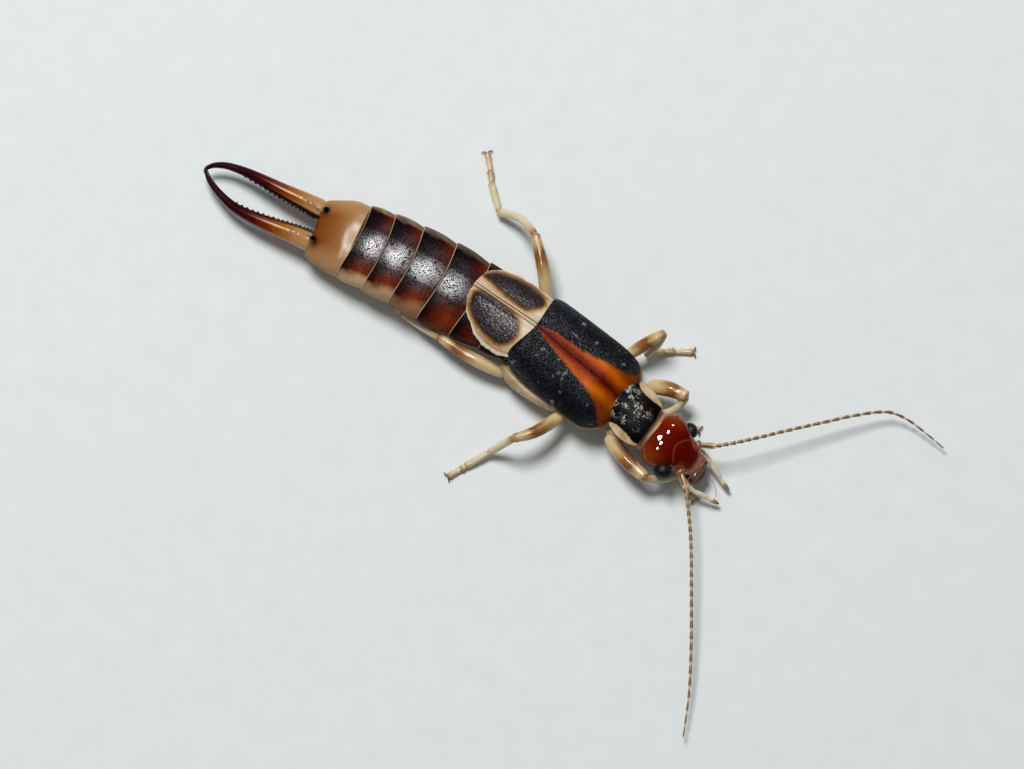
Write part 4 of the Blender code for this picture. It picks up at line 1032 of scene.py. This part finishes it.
def tail_plate():
    """The broad last plate, hollow between two hinge knobs, its front edge under the first plate's hem."""
    plate = drawn_body("tail_plate", from_tail(rows_of(TAIL_RINGS, -11.0, -9.0, 56)), 80, 2.4)
    remark(plate, lambda x, y, z: (x + TAIL_START, y, z))

    def halo(x, y, z):
        return 0.85 * max(bell(math.hypot(x - hx, y - hy), 0.22) for hx, hy in HALOES) if z > 1 else 0.0

    mark_with(plate, halo=halo)
    press(plate, lambda x, y, z: 0.04 * bell(x - 0.25, 0.4) * bell(y, 0.3) if z > 1 else 0.0)
    for point in plate.data.vertices:
        point.co.x += part_of(point.co.x, 0.9, 0.2) * (0.17 + 0.09 * bell(point.co.y, 0.7))
    lay_along(plate, BODY_LINE)
    finish(plate, TAIL_CHITIN, "tail_segment", "last_segment")
    profile = ((0, 0.1), (0.5, 0.17), (0.62, 0.165), (0.75, 0.14), (0.9, 0.09), (1, 0.01))
    for word, (x, y) in KNOBS.items():
        knob = tapered(word + "_hinge_knob", 0.52, profile, 28, rings=24)
        aim(knob, (x, y, 1.3), (x, y, 2.0))
        finish(knob, KNOB_CHITIN, "tail_segment")


# A pincer arm's share of its length, half width and half height.
PINCER_SHAPE = (
    (0, 0.42, 0.34), (0.05, 0.45, 0.36), (0.16, 0.41, 0.34), (0.32, 0.345, 0.29), (0.48, 0.275, 0.24),
    (0.62, 0.215, 0.19), (0.76, 0.165, 0.15), (0.88, 0.125, 0.12), (0.96, 0.08, 0.08), (1, 0.03, 0.03))
PINCER_LEFT = (
    (-10.9, 2.38, 1.15), (-11.2, 2.37, 1.14), (-11.83, 2.33, 1.1), (-12.84, 2.26, 1.02), (-13.86, 2.22, 0.94),
    (-14.7, 2.16, 0.86), (-15.47, 2.0, 0.8), (-15.93, 1.77, 0.75), (-16.13, 1.56, 0.71), (-16.2, 1.38, 0.68),
    (-16.13, 1.25, 0.67))
PINCER_RIGHT = (
    (-10.6, 1.0, 1.15), (-10.85, 0.98, 1.14), (-11.4, 0.92, 1.1), (-12.26, 0.78, 1.02), (-13.31, 0.64, 0.94),
    (-14.25, 0.62, 0.86), (-15.07, 0.8, 0.8), (-15.7, 1.05, 0.75), (-16.05, 1.29, 0.73), (-16.2, 1.46, 0.74),
    (-16.18, 1.6, 0.76))
KEEL_OFF = 0.02
TEETH = 17


def pincer(word, route, inner):
    """A curved pincer arm, broad at its root, with blunt inner teeth and a keel along its top."""
    points = eased(route, 0.05)
    total = length_of(points)
    rings = [(t * total, half, -up, up) for t, half, up in rows_of(PINCER_SHAPE, 0, 1, 90)]
    arm = drawn_body("arm", rings, 48, 2.1)

    def inward(x, y):
        return y * inner / smooth(PINCER_SHAPE, x / total)[1]

    def keel(x, y, z):
        fade = part_of(x, 4.2, 2.2) * part_of(x, 0.0, 0.3)
        notches = 1 - 0.6 * part_of(x, 1.3, 0.9) * (math.sin(x * 26) > 0)
        ridge = 0.07 * bell(inward(x, y) + KEEL_OFF, 0.3) * notches
        return (0.04 * bell(inward(x, y) - 0.5, 0.22) - ridge) * fade if z > 0 else 0.0

    def dark(x, y, z):
        rim = part_of(inward(x, y), 0.6, 0.74) * part_of(x, 4.6, 3.6)
        along_dots = part_of(x, 1.3, 1.0) * (math.sin(x * 36) > -0.3)
        dots = 0.8 * bell(inward(x, y) + KEEL_OFF - 0.5 * part_of(x, 0.5, 0.0), 0.09) * along_dots
        return max(rim, dots if z > 0 else 0.0)

    # Painted highlight: a near-white line on the keel's crest, strongest about 1.65 mm from the root.
    def painted_keel_highlight(x, y, z):
        return 0.95 * bell(inward(x, y) + KEEL_OFF, 0.07) * bell(x - 1.65, 0.75) if z > 0 else 0.0

    press(arm, keel)
    # The keel layer holds the painted highlight line along the crest.
    mark_with(arm, pale=dark, keel=painted_keel_highlight)
    teeth = []
    for k in range(TEETH):
        at = 0.28 + k * (0.15 + 0.004 * k)
        profile = ((0, 1.0), (0.4, 0.95), (0.75, 0.6), (1, 0.15))
        tooth = tapered("tooth", 0.13, profile, 12, rings=6, thick=0.09 + 0.02 * math.sin(k * 2.3))
        half = smooth(PINCER_SHAPE, at / total)[1]
        aim(tooth, (at, inner * (half - 0.08), 0.03), (at, inner * (half + 1), 0.08))
        mark(tooth)
        mark_with(tooth, pale=lambda x, y, z: 1.0)
        teeth.append(tooth)
    arm = joined(word + "_pincer", [arm] + teeth)
    lay_along(arm, points)
    finish(arm, PINCER_CHITIN, "forceps", "forceps_" + word)


back_plates()
tail_plate()
pincer("left", PINCER_LEFT, 1)
pincer("right", PINCER_RIGHT, -1)

# Legs
# Each leg's points: hip, thigh root, mid thigh, knee, mid shin, ankle, ends of the three foot joints.
LEGS = {
    "left_front": (
        (4.75, 2.2, 0.8), (4.44, 3.21, 0.95), (5.29, 3.51, 1.2), (6.1, 3.6, 1.3), (5.91, 3.0, 0.8),
        (5.49, 2.57, 0.34), (6.19, 2.71, 0.15), (6.57, 2.81, 0.13), (7.16, 2.93, 0.12)),
    "left_middle": (
        (2.6, 2.75, 0.8), (3.04, 3.86, 0.95), (3.59, 4.82, 1.4), (3.93, 5.35, 1.6), (3.87, 4.93, 1.0),
        (3.65, 4.48, 0.34), (4.13, 4.98, 0.15), (4.49, 5.23, 0.13), (5.21, 5.66, 0.12)),
    "left_hind": (
        (0.1, 3.0, 0.8), (-0.85, 3.9, 0.9), (-1.84, 5.08, 1.5), (-2.86, 6.1, 1.72), (-3.89, 6.51, 1.0),
        (-4.83, 6.42, 0.34), (-5.79, 7.36, 0.15), (-6.1, 7.78, 0.13), (-6.66, 8.42, 0.12)),
    "right_front": (
        (4.75, 1.25, 0.8), (4.12, 0.58, 0.82), (5.4, 0.02, 1.05), (6.45, -0.2, 1.16), (6.98, 0.18, 0.7),
        (7.43, 0.78, 0.36), (8.04, 0.53, 0.17), (8.26, 0.42, 0.14), (8.54, 0.3, 0.12)),
    "right_middle": (
        (2.6, 1.5, 0.8), (2.16, 0.5, 0.88), (1.6, -0.98, 1.4), (0.99, -1.75, 1.55), (0.68, -2.06, 0.95),
        (0.33, -2.49, 0.34), (-0.24, -3.49, 0.15), (-0.33, -3.71, 0.13), (-0.64, -4.27, 0.12)),
    "right_hind": (
        (1.5, 0.5, 0.85), (-0.8, 0.54, 0.8), (-2.46, 0.36, 0.95), (-3.95, 0.4, 0.98), (-4.9, 0.46, 0.66),
        (-5.9, 0.6, 0.3), (-6.6, 0.8, 0.15), (-6.95, 0.9, 0.13), (-7.6, 1.05, 0.12)),
}
THIGH_HALF = {"front": 0.335, "middle": 0.27, "hind": 0.275}
# The brown band on each thigh sits nearer the hip where this power is lower.
BAND_AT = {"left_front": 0.8, "left_middle": 0.5, "left_hind": 0.9,
           "right_front": 0.75, "right_middle": 0.72, "right_hind": 1.0}
HIP = ((0, 0.34), (0.35, 0.4), (0.75, 0.35), (0.95, 0.22), (1, 0.1))
THIGH = ((0, 0.3), (0.04, 0.72), (0.15, 0.92), (0.4, 1.0), (0.7, 0.9), (0.9, 0.76), (0.97, 0.7),
         (0.99, 0.55), (1, 0.25))
SHIN = ((0, 0.1), (0.03, 0.15), (0.3, 0.165), (0.7, 0.17), (0.93, 0.165), (0.97, 0.175), (0.99, 0.13),
        (1, 0.06))
FOOT = (
    ((0, 0.07), (0.06, 0.11), (0.5, 0.14), (0.88, 0.15), (0.97, 0.14), (1, 0.06)),
    ((0, 0.05), (0.15, 0.1), (0.6, 0.13), (0.85, 0.14), (0.96, 0.12), (1, 0.05)),
    ((0, 0.05), (0.1, 0.1), (0.5, 0.115), (0.85, 0.13), (0.96, 0.12), (1, 0.05)),
)
HAIRS = (0, 0, 12, 4, 4, 4)  # stiff hairs on each joint, from hip to last foot joint
CLAW_CURVE = ((-0.06, 0.0, 0.0), (0.03, 0.09, 0.02), (0.06, 0.18, 0.0), (0.03, 0.26, -0.07))
OVERLAP = 0.06
LAST_JOINT = 5
chance = random.Random(5)


def bristle(root, way, length):
    """One stiff hair: a thin four-sided spike, a little bent."""
    rings = ((0, 0.011, -0.011, 0.011), (0.5 * length, 0.009, -0.001, 0.017), (length, 0.002, 0.028, 0.032))
    hair = drawn_body("hair", rings, 4)
    aim(hair, root, root + way)
    return hair


def leg(word, points):
    """Six joints in a row that overlap a little, stiff hairs from the shin down, and two hooked claws."""
    parts = [(HIP, points[0:2], 1.0), (THIGH, points[1:4], THIGH_HALF[word.split("_")[1]]),
             (SHIN, points[3:6], 1.0)]
    parts += [(profile, points[5 + k:7 + k], 1.0) for k, profile in enumerate(FOOT)]
    joints = []
    hairs = []
    for number, (profile, route, thick) in enumerate(parts):
        line = eased(route, 0.05)
        line[-1] += (line[-1] - line[-2]).normalized() * (OVERLAP if number < LAST_JOINT else 0.0)
        long = length_of(line)
        joint = tapered("joint", long, profile, 24, 0.92, rings=30, thick=thick)
        power = BAND_AT[word] if profile is THIGH else 1.0
        remark(joint, lambda x, y, z: (number + max(x / long, 0.0) ** power, y, z))
        lay_along(joint, line)
        joints.append(joint)
        for k in range(HAIRS[number]):
            i = 1 + int((k + 0.5) / HAIRS[number] * (len(line) - 3))
            ahead = (line[i + 1] - line[i - 1]).normalized()
            out = Vector((-ahead.y, ahead.x, 0)).normalized() * (1 if k % 2 else -1)
            out += Vector((0, 0, chance.uniform(-0.3, 0.5)))
            root = line[i] + out.normalized() * 0.09
            hairs.append(bristle(root, ahead * 0.9 + out * 0.6, chance.uniform(0.12, 0.2)))
    finish(joined(word + "_leg", joints), LEG_CHITIN, "leg", "leg_" + word)
    finish(joined(word + "_bristles", hairs), BRISTLE, "leg")
    toe, tip = Vector(points[7]), Vector(points[8])
    ahead = (tip - toe).normalized()
    across = Vector((-ahead.y, ahead.x, 0)).normalized()
    claws = []
    for side in (1, -1):
        claw = tapered("claw", 0.34, ((0, 0.045), (0.4, 0.034), (0.8, 0.02), (1, 0.007)), 12, rings=12)
        line = [tip + ahead * on + across * side * out + Vector((0, 0, up)) for on, out, up in CLAW_CURVE]
        lay_along(claw, eased(line, 0.03))
        claws.append(claw)
    finish(joined(word + "_claws", claws), CLAW_CHITIN, "leg")


for word, points in LEGS.items():
    leg(word, points)

# Floor, light and camera
pick()
bpy.ops.mesh.primitive_plane_add(size=2.0, location=(0, 0, 0))
floor = bpy.context.object
floor.name = "floor"
floor.data.materials.append(material("matt_white_board", white_board))

RIGHT = Vector((0.848, 0.530, 0.0)).normalized()
BACK = Vector((0.128, -0.205, 0.970)).normalized()
UP = BACK.cross(RIGHT).normalized()
LOOK_AT = Vector((-0.47, 0.49, 0.0)) * MM
DISTANCE = 0.24
VIEW_WIDTH = 0.0426
SENSOR = 36
LAMP_DISTANCE = 0.3


def lamp(name, way, size, power):
    """A round light that shines on the model from a given way."""
    light = bpy.data.lights.new(name, "AREA")
    light.shape = "DISK"
    light.size = size
    light.energy = power
    new = bpy.data.objects.new(name, light)
    bpy.context.scene.collection.objects.link(new)
    new.location = LOOK_AT + way.normalized() * LAMP_DISTANCE
    new.rotation_euler = way.to_track_quat("Z", "Y").to_euler()
    return new


# One broad light gives the soft shadows; a row of four small bulbs gives only the lights on chitin.
lamp("broad_soft_light", Vector((-0.38, 0.23, 0.9)), 0.12, 0.82).visible_glossy = False
for name, turn, power in (("first", -11, 0.1), ("second", 3, 0.22), ("third", 22, 0.22),
                          ("fourth", 43, 0.08)):
    turn = math.radians(turn)
    way = Vector((-0.09, math.sin(turn), math.cos(turn)))
    lamp(name + "_small_bulb", way, 0.034, power).visible_diffuse = False
# A fifth bulb, set more to the rear, draws the long light along each pincer.
lamp("rear_small_bulb", Vector((-0.26, 0.16, 0.94)), 0.04, 0.2).visible_diffuse = False

world = bpy.data.worlds.new("white_room")
bpy.context.scene.world = world
world.use_nodes = True
background = world.node_tree.nodes["Background"]
background.inputs["Color"].default_value = lin("f2f5f6")
background.inputs["Strength"].default_value = 0.2
world.cycles_visibility.glossy = False

camera_data = bpy.data.cameras.new("camera")
camera_data.sensor_width = SENSOR
camera_data.lens = SENSOR * DISTANCE / VIEW_WIDTH
camera_data.clip_start = 0.01
camera = bpy.data.objects.new("camera", camera_data)
bpy.context.scene.collection.objects.link(camera)
camera.matrix_world = Matrix((RIGHT, UP, BACK)).transposed().to_4x4()
camera.location = LOOK_AT + BACK * DISTANCE
bpy.context.scene.camera = camera
bpy.context.scene.view_settings.view_transform = "Standard"
